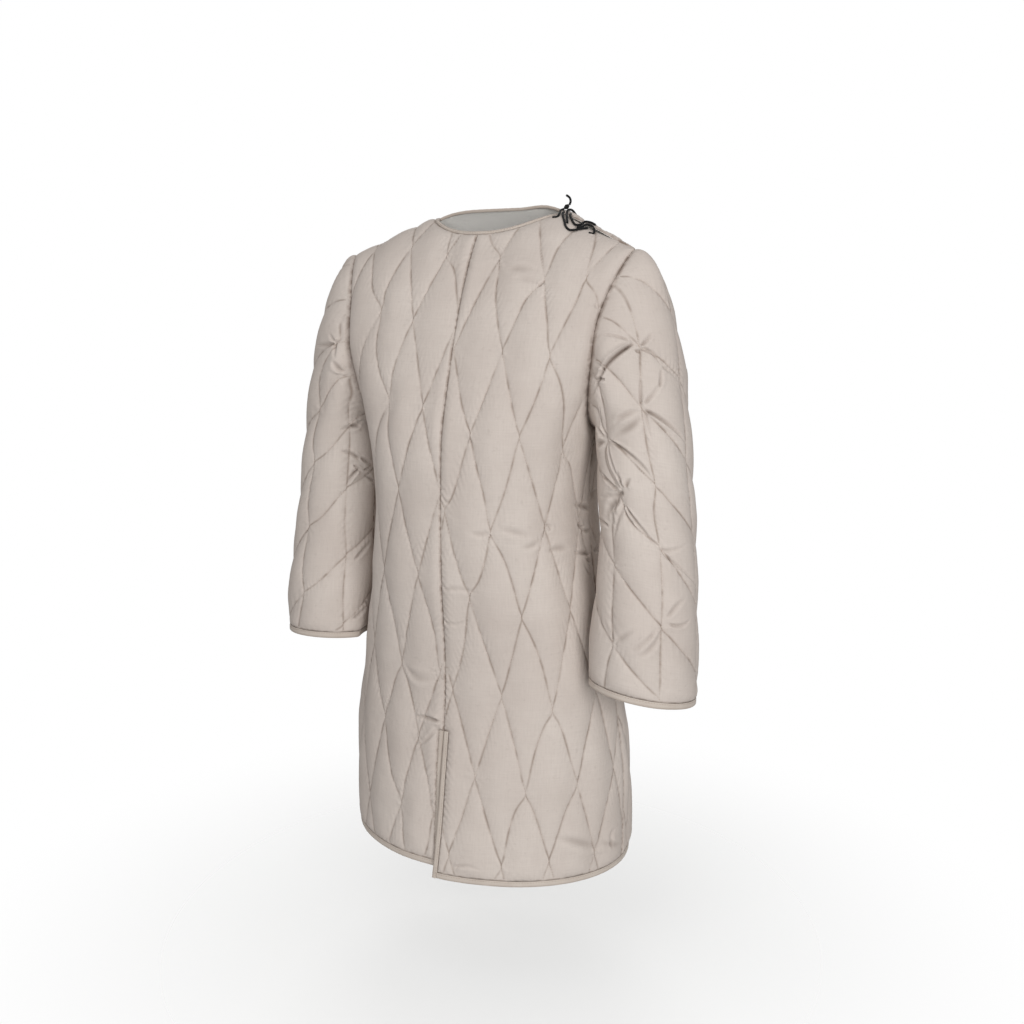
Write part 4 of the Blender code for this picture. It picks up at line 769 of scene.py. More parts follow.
@lru_cache(None)
def sleeve_grid(side):
    """Points of a sleeve's outside, from the cuff to the armhole, and each column's length."""
    turn = np.linspace(-pi, pi, SLEEVE_COLUMNS)
    cuff, upper = CUFFS[side], SLEEVE[0][0]
    lower, cuff_out, cuff_forward = SLEEVE[-1][:3]

    def ring(height):
        out, forward, half_width, half_depth = eased(SLEEVE, height).T
        angle = turn + cuff.elbow_turn * smooth((height - ELBOW) / (upper - ELBOW))
        return out + half_width * np.cos(angle), -forward - half_depth * np.sin(angle)

    x, y = ring(np.full(turn.shape, lower))
    low = cuff.height - cuff.side_fall * (x - cuff_out) - cuff.front_rise * (y + cuff_forward)
    rows = []
    for share in np.linspace(0, 1, SLEEVE_ROWS - 1):
        height = low + (upper - low) * share
        x, y = ring(height)
        pressed = body_side(y, height) + SLEEVE_CLEAR
        rests = 0.5 * (x + pressed + np.sqrt((x - pressed) ** 2 + PRESS_SOFT**2))
        x = np.where(x < PRESS_WITHIN, rests, x)
        rows.append(np.stack([x, y, height], -1))
    start = rows[-1]
    down = unit(rows[-2] - start)
    end = armhole_ring(turn)
    top = (1 + np.cos(turn)) / 2
    reach = HEAD_DOWN * top**HEAD_EASE + UNDERARM_DOWN * (1 - top**HEAD_EASE)
    out = HEAD_OUT * top + UNDERARM_OUT * (1 - top)
    bow = np.stack([out, -HEAD_AHEAD * np.sin(turn), -HEAD_LOW * np.sin(turn) ** 2], -1)
    for t in np.linspace(0, 1, SLEEVE_ROWS - 1)[1:]:
        rows.append(bezier(start, start - down * reach[:, None], end + bow, end, t))
    grid, length = evened(np.stack(rows), SLEEVE_ROWS)
    grid[..., 0] *= side
    return grid, length


def sleeve_length(side, u):
    return np.interp(u / SLEEVE_ROUND, np.linspace(-pi, pi, SLEEVE_COLUMNS), sleeve_grid(side)[1])


def sleeve_point(side, u, v):
    grid, length = sleeve_grid(side)
    column = (u / SLEEVE_ROUND + pi) / (2 * pi) * (SLEEVE_COLUMNS - 1)
    wrapped = column % (SLEEVE_COLUMNS - 1)
    row = v / np.interp(wrapped, np.arange(SLEEVE_COLUMNS), length) * (SLEEVE_ROWS - 1)
    return on_grid(grid, row, wrapped)


def sleeve_out(side, u, v):
    inward = np.clip(v, 2 * NEAR, sleeve_length(side, u) - 2 * NEAR)
    return facing(partial(sleeve_point, side), u, inward) * -side


def on_sleeve(side, u, v, lift):
    return sleeve_point(side, u, v) + sleeve_out(side, u, v) * (lift - WALL)[..., None]


def on_armhole(side, turn, lift, into):
    """A point where body and sleeve meet, on the plane between their walls.

    Turn goes round from the shoulder point towards the front. Into is 1 for the body's edge and -1 for the
    sleeve's.
    """
    face = "front" if turn > 0 else "back"
    u, v = armhole(face, (abs(turn) / pi) ** CAP_FLAT)
    mirror = np.array([side, 1, 1])
    seam = body_point(face, u, v) * mirror
    before, after = armhole_ring(np.clip([turn - 0.02, turn + 0.02], -pi, pi)) * mirror
    body = body_out(face, side * u, v)
    around = (turn + SEAM_SOFT * np.array([-1, -0.5, 0, 0.5, 1])) * SLEEVE_ROUND
    sleeve = unit(sleeve_out(side, around, sleeve_length(side, around)).mean(axis=0))
    between = (body + sleeve) / max(1 + body @ sleeve, 0.6)
    inward = unit(np.cross(after - before, between)) * side
    return seam + between * (lift - WALL) + inward * into * WIDE_SEAM / 2


def body_rim(face, side, outline):
    """The rim of a body piece: its corners on the armhole meet the sleeve's."""
    corners = {}
    for share in arm_shares():
        u, v = armhole(face, share)
        corners[round(float(u), 6), round(float(v), 6)] = pi * share ** (1 / CAP_FLAT)
    turns = [corners.get((round(abs(u), 6), round(v, 6))) for u, v in outline]

    def rim(corner, lift):
        turn = turns[corner]
        if turn is None:
            return None
        which = side or (1 if outline[corner][0] > 0 else -1)
        return on_armhole(which, turn if face == "front" else -turn, lift, 1)

    return rim


def sleeve_rim(side, outline):
    def rim(corner, lift):
        u, v = outline[corner]
        if v < float(sleeve_length(side, u)) - SEAM_GAP / 2:
            return None
        return on_armhole(side, u / SLEEVE_ROUND, lift, -1)

    return rim


def sleeve_outline(side):
    half = pi * SLEEVE_ROUND - SEAM_GAP
    low, top = CUFF_BAND + SEAM_GAP, float(sleeve_length(side, half)) - SEAM_GAP
    cuff = np.linspace(-pi, pi, CUFF_STEPS + 1) * SLEEVE_ROUND
    cuff[0], cuff[-1] = -half, half
    points = [(float(u), low) for u in cuff]
    points += spaced(points[-1], (half, top))[1:]
    turns = pi * arm_shares()[1:] ** (1 / CAP_FLAT)
    turns[-1] = pi - SEAM_GAP / SLEEVE_ROUND
    for turn in np.concatenate([turns[::-1], [0.0], -turns]):
        points.append((turn * SLEEVE_ROUND, float(sleeve_length(side, turn * SLEEVE_ROUND))))
    return points + spaced((-half, top), (-half, low))[1:]


# ---- Creases and fine relief ----


def crease_run(crease):
    """Points along the middle of a crease."""
    start, middle, end = (np.array(p) / 1000 for p in (crease[0:2], crease[2:4], crease[4:6]))
    turn = 2 * middle - (start + end) / 2
    t = np.linspace(0, 1, CREASE_STRETCHES + 1)[:, None]
    return (1 - t) ** 2 * start + 2 * t * (1 - t) * turn + t**2 * end


def crease_width(crease, share):
    return crease.half_width / 1000 * (0.6 + 0.4 * np.sin(pi * share))


def crease_places(crease, spots, reach):
    """Which places lie near a crease, and for those their signed distance from it and share of its run."""
    run = crease_run(crease)
    near = ((spots > run.min(axis=0) - reach) & (spots < run.max(axis=0) + reach)).all(axis=1)
    spots = spots[near]
    best, share = np.full(len(spots), 1e9), np.zeros(len(spots))
    for k, (a, b) in enumerate(zip(run, run[1:])):
        along = np.clip((spots - a) @ (b - a) / ((b - a) @ (b - a)), 0, 1)
        off = spots - a - along[:, None] * (b - a)
        side = np.where((b - a)[0] * off[:, 1] > (b - a)[1] * off[:, 0], 1, -1)
        away = np.linalg.norm(off, axis=1) * side
        closer = np.abs(away) < np.abs(best)
        best = np.where(closer, away, best)
        share = np.where(closer, (k + along) / CREASE_STRETCHES, share)
    return near, best, share


def creases(piece, flat, inset, wider=0.0):
    """How far the creases move a piece's cloth out, at places in the flat. The inside has wider troughs."""
    moved = np.zeros(len(flat))
    for crease in CREASES[piece]:
        reach = CREASE_REACH * crease.half_width + INSIDE_REACH * wider
        near, away, share = crease_places(crease, flat, reach)
        wide = crease_width(crease, share) + wider
        if crease.half_width < WIDE_FROM:
            swell = (np.clip(share / GROWN_AT, 0, 1) ** 0.7) * (1 - share) ** 0.6 * 1.1
        else:
            swell = np.sin(pi * np.clip(share, 0, 1)) ** 1.2
        trough = np.exp(-((away / wide) ** 2)) * (INSIDE_DEEPER if wider else 1.0)
        high = BANK * (1 + crease.lean * np.sign(away))
        bank = 0.0 if wider else high * np.exp(-(((np.abs(away) - BANK_OFF * wide) / wide) ** 2))
        moved[near] += crease.depth / 1000 * (bank - trough) * swell
    return np.where(moved < 0, DEEPEST * np.tanh(moved / DEEPEST), moved) * smooth(inset / EDGE_EASE)


def crease_spots(piece, step, wider):
    """Mesh points in rows along each crease, in the flat."""
    spots = []
    for crease in CREASES[piece]:
        run = crease_run(crease)
        ahead = unit(np.gradient(run, axis=0))
        shares = np.linspace(0, 1, max(4, round(run_along(run)[-1] / step)))
        counts = np.arange(len(run)) / CREASE_STRETCHES
        middle, way = (np.stack([np.interp(shares, counts, x) for x in a.T], -1) for a in (run, ahead))
        across = np.stack([-way[:, 1], way[:, 0]], -1) * (crease_width(crease, shares) + wider)[:, None]
        spots += [middle + side * off * across for off in CREASE_SIDES for side in ((1, -1) if off else (1,))]
    spots = np.concatenate(spots)
    return spots[np.unique(cells(spots, step / 2), return_index=True)[1]]


def cells(spots, size):
    """One number for each square of this size that places lie in."""
    return np.floor(spots / size).astype(np.int64) @ (1, 1000003)


def waves(u, v, size, seed):
    """Soft, even unevenness from -1 to 1, in patches of about this size."""
    dice = np.random.default_rng(seed)
    total = np.zeros(np.shape(u))
    for _ in range(9):
        angle, start = dice.uniform(0, 2 * pi, 2)
        pace = 2 * pi / (size * dice.uniform(1.3, 2.8))
        total += np.sin(pace * (u * cos(angle) + v * sin(angle)) + start)
    return total / 4.5


def easy_seam(piece, u, v):
    """1 about the upper part of an armhole's seam, where the cloth has hardly a groove, and 0 elsewhere."""
    kind = piece.split("_")[0]
    beside = 1.0 if kind == "sleeve" else smooth((np.abs(u) - 0.185) / 0.02)
    return smooth((v - EASY_FROM[kind]) / 0.06) * beside


def relief(piece, quilting, places, inset):
    """How high the outside stands over the plain inside, at places in the flat this far from the seam."""
    u, v = places.T
    flat = quilting.even(places)
    part, spacing = quilting.fields(flat), quilting.spacing()
    top = easy_seam(piece, u, v)
    soft = np.clip(inset / (EDGE_EASE + (REACH - EDGE_EASE) * top), 0, 1)
    full = 1 - SEAM_LESS * top * (inset < REACH) * (1 - inset / REACH)
    for share, size, seed in UNEVEN:
        full = full + share * waves(u, v, size, seed)
    high = LOFT * quilting.rise(flat) * soft * (2 - soft) * full

    # Gathers along the lines
    for k in (0, 1):
        line = np.round(part[:, k])
        away = np.abs(part[:, k] - line) * spacing[k]
        along = part[:, 1 - k] * np.linalg.norm(quilting.sides[1 - k])
        gather = np.sin(2 * pi * along / PUCKER_PITCH + 5.1 * line + 3.0 * waves(u, v, 0.04, 7 + k))
        strength = 0.6 + 0.7 * waves(u, v, 0.05, 9)
        near = np.exp(-away / PUCKER_REACH) * np.minimum(away / LINE_WIDE, 1) * soft
        high += PUCKER * strength * gather * near

    # Gathers that spread from the crossings, by a number from 0 to 1 for each crossing
    crossing = np.round(part)
    off = flat - (quilting.start + crossing @ quilting.sides)
    far, turn = np.linalg.norm(off, axis=1), np.arctan2(off[:, 1], off[:, 0])
    dice = np.sin(crossing @ (12.9898, 78.233)) * 43758.5453
    dice -= np.floor(dice)
    spread = np.cos(6 * turn + 6 * dice + 1.3 * np.sin(2 * turn + 9 * dice)) * (0.6 + 0.4 * np.cos(turn) ** 2)
    near = np.exp(-((far / PINCH_REACH) ** 2)) * np.minimum(far / CROSSING_WIDE, 1) * soft
    high += PINCH * (0.25 + 0.75 * dice) * spread * near

    # Gathers along the seams, larger down the middle front
    gather = np.sin(2 * pi * (u + v) / SEAM_PITCH + 2.5 * waves(u, v, 0.03, 12))
    gather *= 0.6 + 0.6 * waves(u, v, 0.05, 13)
    seam = PUCKER * (1 + 1.2 * piece.startswith("front") * (u < 0.03) * smooth((0.70 - v) / 0.1))
    high += seam * gather * np.exp(-inset / SEAM_REACH) * np.minimum(inset / LINE_WIDE, 1)
    return STITCHED + high + SEAM_LIFT * top * np.exp(-((inset / LIFT_REACH) ** 2))


# ---- Meshes ----


def placed(name, data):
    item = bpy.data.objects.new(name, data)
    bpy.context.scene.collection.objects.link(item)
    return item


def piece_of(name, points, faces, material, uv, values=None):
    """A closed mesh at the origin that faces out, with a UV map in metres and values kept as attributes."""
    mesh = bpy.data.meshes.new(name)
    mesh.from_pydata(points.tolist(), [], faces)
    corner = np.empty(len(mesh.loops), np.int32)
    mesh.loops.foreach_get("vertex_index", corner)
    mesh.uv_layers.new(name="flat").data.foreach_set("uv", uv.astype(np.float32)[corner].ravel())
    for key, data in (values or {}).items():
        mesh.attributes.new(key, "FLOAT", "POINT").data.foreach_set("value", data.astype(np.float32))
    mesh.shade_smooth()
    mesh.set_sharp_from_angle(angle=radians(60))
    mesh.materials.append(material)
    mesh.calc_loop_triangles()
    corners = np.empty(len(mesh.loop_triangles) * 3, np.int32)
    mesh.loop_triangles.foreach_get("vertices", corners)
    a, b, c = points[corners.reshape(-1, 3)].transpose(1, 0, 2)
    if (np.cross(a, b) * c).sum() < 0:
        mesh.flip_normals()
    return placed(name, mesh)


def meshed(outline, spots, kept, folded, size, clear):
    """Triangles in an outline, through the creases' points and the spots that are kept or far from those.

    Gives all points, the triangles, each point's number on the outline or -1, and its distance from it.
    """
    spots = spots[kept | ~np.isin(cells(spots, size), cells(folded, size))]
    spots = np.concatenate([spots, folded])
    spots = spots[edge_distance(spots, outline) > clear]
    count = len(outline)
    points = [Vector(p) for p in outline] + [Vector(p) for p in spots]
    made, _, faces, known, *_ = delaunay_2d_cdt(points, [], [list(range(count))], 1, 1e-6)
    flat = np.array([tuple(p) for p in made])
    corner = np.array([min(ids, default=count) for ids in known])
    corner[corner >= count] = -1
    inset = np.where(corner >= 0, 0, np.maximum(edge_distance(flat, outline), 0))
    return flat, np.array([f for f in faces if len(f) == 3]), corner, inset


def wall(name, outline, quilting, place, material, rim):
    """A cloth piece: a quilted outside over a plain inside, with soft edges."""
    spots, on_line = quilting.points(outline)
    folded = crease_spots(name, FOLD_STEP, 0)
    flat, faces, corner, inset = meshed(outline, spots, on_line, folded, FOLD_STEP, RIM_CLEAR)
    low, high = np.min(outline, axis=0), np.max(outline, axis=0)
    rows = enumerate(np.arange(low[1], high[1], LINING_STEP * 0.87))
    columns = np.arange(low[0], high[0], LINING_STEP)
    inner = np.array([(x + LINING_STEP / 2 * (k % 2), y) for k, y in rows for x in columns])
    folded = crease_spots(name, LINING_FOLD_STEP, INSIDE_WIDER)
    plain, plain_faces, plain_corner, plain_inset = meshed(
        outline, inner, False, folded, LINING_FOLD_STEP, LINING_RIM_CLEAR
    )

    edge, plain_edge = corner >= 0, plain_corner >= 0
    bend = creases(name, flat, inset)
    lift = relief(name, quilting, flat, inset) + bend
    lift[edge] = RIM_HIGH + SEAM_LIFT * easy_seam(name, *flat[edge].T)
    sunk = np.where(plain_edge, RIM_LOW, creases(name, plain, plain_inset, INSIDE_WIDER))
    outer, lining = place(*flat.T, lift), place(*plain.T, sunk)
    for points, marks, levels in ((outer, corner, lift), (lining, plain_corner, sunk)):
        for n in np.flatnonzero(marks >= 0):
            spot = rim(marks[n], levels[n])
            if spot is not None:
                points[n] = spot

    above, below = np.empty(len(outline), int), np.empty(len(outline), int)
    above[corner[edge]] = np.flatnonzero(edge)
    below[plain_corner[plain_edge]] = np.flatnonzero(plain_edge) + len(outer)
    ways = {(a, b) for f in faces.tolist() for a, b in zip(f, f[1:] + f[:1])}
    quads = np.stack([above, np.roll(above, -1), np.roll(below, -1), below], -1).tolist()
    sides = [(b, a, d, c) if (a, b) in ways else (a, b, c, d) for a, b, c, d in quads]
    all_faces = faces.tolist() + (plain_faces[:, ::-1] + len(outer)).tolist() + sides
    values = {
        "from_line": (np.where(edge, 1, quilting.from_line(flat)), np.ones(len(plain))),
        "inside": (np.zeros(len(flat)), np.ones(len(plain))),
        "from_seam": (inset, plain_inset),
        # how deep each point lies in a crease's trough, which the cloth's colour uses as painted shade
        "crease_shade": (np.clip(-bend / CREASE_SHADE_DEPTH, 0, 1), np.zeros(len(plain))),
    }
    values = {key: np.concatenate(parts) for key, parts in values.items()}
    points, uv = np.concatenate([outer, lining]), np.concatenate([flat, plain])
    return piece_of(name + "_cloth", points, all_faces, material, uv, values)


def skin(name, rings, around, material, closed=False, fold=None):
    """A bar through rings, with flat ends or joined up, and a UV map along and round it."""
    rings = np.array(rings)
    count, size = rings.shape[:2]
    faces = []
    for k in range(count if closed else count - 1):
        here, after = k * size, (k + 1) % count * size
        faces += [(here + j, here + (j + 1) % size, after + (j + 1) % size, after + j) for j in range(size)]
    if not closed:
        faces += [tuple(range(size))[::-1], tuple(range((count - 1) * size, count * size))]
    uv = np.stack([np.repeat(run_along(rings.mean(axis=1)), size), np.tile(around, count)], -1)
    values = None if fold is None else {"fold": np.tile(fold, count)}
    return piece_of(name, rings.reshape(-1, 3), faces, material, uv, values)


# ---- Materials ----


def linear(code):
    """A linear colour from an sRGB hex code."""
    parts = [int(code[i : i + 2], 16) / 255 for i in (0, 2, 4)]
    return (*(c / 12.92 if c <= 0.04045 else ((c + 0.055) / 1.055) ** 2.4 for c in parts), 1)


def add(tree, kind, links=None, **settings):
    """Adds a node. Links give its inputs, by name or number, a value or another node's output."""
    node = tree.nodes.new(kind)
    for key, value in settings.items():
        setattr(node, key, value)
    for key, value in (links or {}).items():
        if isinstance(value, bpy.types.NodeSocket):
            tree.links.new(value, node.inputs[key])
        else:
            node.inputs[key].default_value = value
    return node


def fresh(name, roughness, sheen):
    """A material with a matt woven surface's gloss and sheen, its tree and its shader."""
    material = bpy.data.materials.new(name)
    material.use_nodes = True
    tree = material.node_tree
    shader = tree.nodes["Principled BSDF"]
    fixed = {"Sheen Roughness": 0.6, "IOR": 1.5, "Specular IOR Level": 0.14}
    for key, value in {"Roughness": roughness, "Sheen Weight": sheen, **fixed}.items():
        shader.inputs[key].default_value = value
    return material, tree, shader


def ramp(tree, value, low, high, out_low=0.0, out_high=1.0, **settings):
    """Maps a value from one range to another, held at both ends."""
    links = {"Value": value, "From Min": low, "From Max": high, "To Min": out_low, "To Max": out_high}
    return add(tree, "ShaderNodeMapRange", links, **settings).outputs["Result"]


def calc(tree, kind, first, second=0.0):
    return add(tree, "ShaderNodeMath", {0: first, 1: second}, operation=kind).outputs[0]


def noise(tree, scale, detail, place=None):
    """Soft noise, on the piece's own coordinates where no place is given."""
    if place is None:
        place = add(tree, "ShaderNodeTexCoord").outputs["Object"]
    return add(tree, "ShaderNodeTexNoise", {"Vector": place, "Scale": scale, "Detail": detail}).outputs["Fac"]


def stored(tree, name):
    """A value that the mesh keeps."""
    return add(tree, "ShaderNodeAttribute", attribute_name=name).outputs["Fac"]


def painted(tree, shader, base, *layers):
    """Colours over each other, each by its share, as the base colour."""
    color = linear(base)
    for share, code in layers:
        links = {0: share, 6: color, 7: linear(code)}
        color = add(tree, "ShaderNodeMix", links, data_type="RGBA").outputs[2]
    tree.links.new(color, shader.inputs["Base Color"])


def bumped(tree, shader, *layers):
    """Bumps over each other, each with its strength, its distance and its height."""
    under = {}
    for strength, distance, height in layers:
        links = {"Strength": strength, "Distance": distance, "Height": height, **under}
        under = {"Normal": add(tree, "ShaderNodeBump", links).outputs[0]}
    tree.links.new(under["Normal"], shader.inputs["Normal"])


def flat_map(tree):
    """The flat map, and its two parts."""
    flat = add(tree, "ShaderNodeUVMap", uv_map="flat").outputs[0]
    return flat, add(tree, "ShaderNodeSeparateXYZ", {0: flat}).outputs


def weave(tree, thread):
    """Height of a plain weave on the flat map, from 0 to 1, with this pitch, and its uneven slubs."""
    flat, parts = flat_map(tree)
    over = [calc(tree, "SINE", calc(tree, "MULTIPLY", parts[k], 2 * pi / thread)) for k in (0, 1)]
    height = ramp(tree, calc(tree, "MULTIPLY", *over), -1.0, 1.0)
    slubs = []
    for stretch in ((1.0, 0.06, 1.0), (0.06, 1.0, 1.0)):
        along = add(tree, "ShaderNodeMapping", {"Vector": flat, "Scale": stretch}).outputs[0]
        slubs.append(noise(tree, 520.0, 2.0, along))
    return height, calc(tree, "MULTIPLY", calc(tree, "ADD", *slubs), 0.5)


def quilted_cotton():
    """Undyed plain-weave cotton over wadding: matt, soft nap, faint slubs; brown thread and painted shade
    darken its stitched lines, painted shade its creases.
    """
    material, tree, shader = fresh("quilted plain-weave cotton", 0.97, 0.03)
    height, slub = weave(tree, 0.0011)  # real threads are about 0.5 mm apart, too fine to show
    cloud, speck, rumple = noise(tree, 9.0, 3.0), noise(tree, 160.0, 2.0), noise(tree, 48.0, 3.0)
    # stitched lines: partly the brown of their thread, partly painted shade in the grooves beside them
    line = ramp(tree, stored(tree, "from_line"), 0.0003, 0.0026, 0.55, 0.0)
    seam = ramp(tree, stored(tree, "from_seam"), 0.0, 0.0032, 0.75, 0.0)
    patch = ramp(tree, noise(tree, 45.0, 1.0), 0.38, 0.62, 0.15, 1.0)
    dash = ramp(tree, noise(tree, 95.0, 1.0), 0.42, 0.58, 0.3, 1.0)
    painted(
        tree, shader, "C4B9B1",
        (ramp(tree, cloud, 0.3, 0.7), "CEC4BC"),
        (ramp(tree, slub, 0.35, 0.65, 0.0, 0.35), "B8ADA5"),
        (ramp(tree, speck, 0.62, 0.75, 0.0, 0.18), "A59A92"),
        (calc(tree, "MULTIPLY", line, patch), "7C695C"),
        (calc(tree, "MULTIPLY", seam, dash), "7F6C5F"),
        # painted shade: darker brown in the creases' troughs, by their depth
        (calc(tree, "MULTIPLY", calc(tree, "POWER", stored(tree, "crease_shade"), 1.5), 0.8), "67564B"),
        (ramp(tree, stored(tree, "inside"), 0.5, 0.9), "EAE7E2"),
    )
    bumped(tree, shader, (0.25, 0.0003, height), (0.35, 0.0006, slub), (0.35, 0.0028, rumple))
    return material


def cotton_tape():
    """Cotton tape folded over an edge: matt, a little tighter than the cloth, and darker at its fold."""
    material, tree, shader = fresh("folded cotton tape", 0.9, 0.1)
    height, slub = weave(tree, 0.0009)
    painted(
        tree, shader, "BFB4AA",
        (ramp(tree, noise(tree, 30.0, 3.0), 0.3, 0.7), "C9BFB5"),
        (ramp(tree, slub, 0.35, 0.65, 0.0, 0.3), "B5A69A"),
        (ramp(tree, stored(tree, "fold"), 0.4, 1.0, 0.0, 0.35), "A08F82"),
    )
    bumped(tree, shader, (0.3, 0.0003, height), (0.4, 0.0005, slub))
    return material


def black_cord():
    """Braided black cotton cord: a soft sheen, with the braid's slanting strands and painted shade in the
    grooves between them.
    """
    material, tree, shader = fresh("braided black cord", 0.65, 0.06)
    parts = flat_map(tree)[1]
    around = calc(tree, "MULTIPLY", parts[1], 4 * 2 * pi)
    along = calc(tree, "MULTIPLY", parts[0], 2 * pi / 0.0036)
    strands = [calc(tree, "SINE", calc(tree, way, along, around)) for way in ("ADD", "SUBTRACT")]
    height = ramp(tree, calc(tree, "MULTIPLY", *strands), -1.0, 1.0)
    # painted shade: the grooves between the strands darker than their crowns
    painted(tree, shader, "080809", (height, "19191A"))
    bumped(tree, shader, (0.6, 0.0004, height))
    return material


def thread():
    """Brownish beige cotton thread, with a slight sheen from its twist."""
    material, tree, shader = fresh("cotton sewing thread", 0.75, 0.2)
    painted(tree, shader, "9B8775", (ramp(tree, noise(tree, 60.0, 2.0), 0.35, 0.65), "B3A191"))
    return material


def pale_floor():
    """A matt, nearly white studio floor that melts into the surround with distance from its middle."""
    material, tree, shader = fresh("pale studio floor", 0.95, 0.0)
    painted(tree, shader, "F7F7F6", (noise(tree, 2.0, 2.0), "FAFAF9"))
    place = add(tree, "ShaderNodeTexCoord").outputs["Object"]
    away = add(tree, "ShaderNodeVectorMath", {0: place}, operation="LENGTH").outputs["Value"]
    shown = ramp(tree, away, *FLOOR_FADE, 0.5, 0.0, interpolation_type="SMOOTHSTEP")
    tree.links.new(shown, shader.inputs["Alpha"])
    return material


# ---- Bindings ----

ROW_IN = 0.0017  # a row of stitches this far from a band's inner edge


def band_section(width):
    """Across a band from its folded edge, and over the wall's inside, all round."""
    low, high = (STITCHED - BAND_WALL) / 2, (STITCHED + BAND_WALL) / 2
    middle, half = (low + high) / 2, (high - low) / 2
    turns = np.linspace(pi / 2, 3 * pi / 2, 7)
    nose = [(half * (1 + cos(t)) * 0.9, middle + half * sin(t)) for t in turns]
    outside = [(width, high - 0.0007), (0.82 * width, high - 0.0001), (0.5 * width, high + 0.0001)]
    return outside + nose + [(0.5 * width, low), (width, low + 0.0007)]


def band(name, ring_rows, width, material, closed):
    """A binding and the stitches near its inner edge. Rows give how to place it, its edge and the way in."""
    across, lift = np.array(band_section(width)).T
    inner = across / width
    row_in, row_lift = width - ROW_IN, (STITCHED + BAND_WALL) / 2 + 0.0002
    rings, row, run, before = [], [], 0.0, None
    for place, (u, v), (du, dv) in ring_rows:
        spot = place(np.array([u]), np.array([v]), np.zeros(1))[0]
        run += 0 if before is None else float(np.linalg.norm(spot - before))
        before = spot
        ripple = 0.00035 * sin(2 * pi * run / 0.011 + 2 * sin(run / 0.031)) + 0.0003 * sin(run / 0.019)
        rings.append(place(u + du * across, v + dv * across, lift + ripple * inner * (1.2 - inner)))
        row.append(place(*np.array([[u + du * row_in], [v + dv * row_in], [row_lift]]))[0])
    if closed:
        row.append(row[0])
    fold = np.array([3 <= j <= 9 for j in range(len(across))], float)
    return skin(name + "_tape", rings, run_along(rings[0]), material, closed, fold), [np.array(row)]


def hem_rows():
    def ends(side):
        low = hem_v(side)
        inner = max(slit_edge(side, low), slit_edge(side, low + HEM_BAND)) + SLIT_BAND + SEAM_GAP
        return inner, float(half_girth("front", low))

    back = float(half_girth("back", 0.0))
    rows = [(partial(on_a_front, 1), (u, hem_v(1)), (0, 1)) for u in np.linspace(*ends(1), 100)[:-1]]
    for u in np.linspace(back, -back, 220):
        rows.append((on_back, (u, RIGHT_HEM_RISE * (1 - (u + back) / (2 * back))), (0, 1)))
    right = np.linspace(*ends(-1)[::-1], 100)[1:]
    return rows + [(partial(on_a_front, -1), (u, hem_v(-1)), (0, 1)) for u in right]


def slit_rows(side):
    place = partial(on_a_front, side)
    return [(place, (slit_edge(side, v), v), (1, 0)) for v in np.linspace(hem_v(side), SLIT - SEAM_GAP, 80)]


def neck_band_rows():
    rows = []
    for face, side, way in (("front", 1, -1), ("front", -1, 1), ("back", -1, -1), ("back", 1, 1)):
        found = neck_rows(face, side)[::way]
        for edge, into in found[1:] if way > 0 else found:
            place = on_front if face == "front" else on_back
            rows.append((place, (side * edge[0], edge[1]), (side * into[0], into[1])))
    return rows


def cuff_rows(side):
    turns = np.linspace(-pi, pi, CUFF_STEPS + 1)[:-1]
    return [(partial(on_sleeve, side), (turn * SLEEVE_ROUND, 0.0), (0, 1)) for turn in turns]


# ---- Stitches ----

STITCH = {"Pitch": 0.0042, "Stitch length": 0.0027, "Thread": 0.0005}


def stitch_tree(material):
    """Geometry Nodes: stitches of one length and pitch along every run of edges."""
    tree = bpy.data.node_groups.new("stitches along a line", "GeometryNodeTree")
    tree.interface.new_socket("Lines", in_out="INPUT", socket_type="NodeSocketGeometry")
    for name in STITCH:
        tree.interface.new_socket(name, in_out="INPUT", socket_type="NodeSocketFloat")
    tree.interface.new_socket("Stitches", in_out="OUTPUT", socket_type="NodeSocketGeometry")

    def out(kind, links=None, which=0, **settings):
        return add(tree, kind, links, **settings).outputs[which]

    given = add(tree, "NodeGroupInput").outputs
    lines = out("GeometryNodeMeshToCurve", {"Mesh": given["Lines"]})
    places = out("GeometryNodeResampleCurve", {"Curve": lines, "Length": given["Pitch"]}, mode="LENGTH")
    turned = out("FunctionNodeAlignRotationToVector", {"Vector": out("GeometryNodeInputTangent")}, axis="X")
    uneven = out("FunctionNodeRandomValue", {2: 0.85, 3: 1.1, "Seed": 4}, 1)
    long = calc(tree, "MULTIPLY", given["Stitch length"], uneven)
    size = out("ShaderNodeCombineXYZ", {0: long, 1: given["Thread"], 2: given["Thread"]})
    bead = out("GeometryNodeMeshIcoSphere", {"Radius": 0.5, "Subdivisions": 1})
    links = {"Points": places, "Instance": bead, "Rotation": turned, "Scale": size}
    real = out("GeometryNodeRealizeInstances", {"Geometry": out("GeometryNodeInstanceOnPoints", links)})
    real = out("GeometryNodeSetShadeSmooth", {"Geometry": real})
    real = out("GeometryNodeSetMaterial", {"Geometry": real, "Material": material})
    add(tree, "NodeGroupOutput", {0: real})
    return tree


def stitches(name, runs, tree):
    """Stitches along runs of points, as one plain mesh."""
    edges, start = [], 0
    for run in runs:
        edges += [(start + k, start + k + 1) for k in range(len(run) - 1)]
        start += len(run)
    mesh = bpy.data.meshes.new(name + "_lines")
    mesh.from_pydata(np.concatenate(runs).tolist(), edges, [])
    guide = placed(name + "_lines", mesh)
    modifier = guide.modifiers.new("stitches", "NODES")
    modifier.node_group = tree
    for socket in tree.interface.items_tree:
        if socket.name in STITCH:
            modifier[socket.identifier] = STITCH[socket.name]
    made = bpy.data.meshes.new_from_object(guide.evaluated_get(bpy.context.evaluated_depsgraph_get()))
    made.name = name
    bpy.data.objects.remove(guide)
    return placed(name, made)


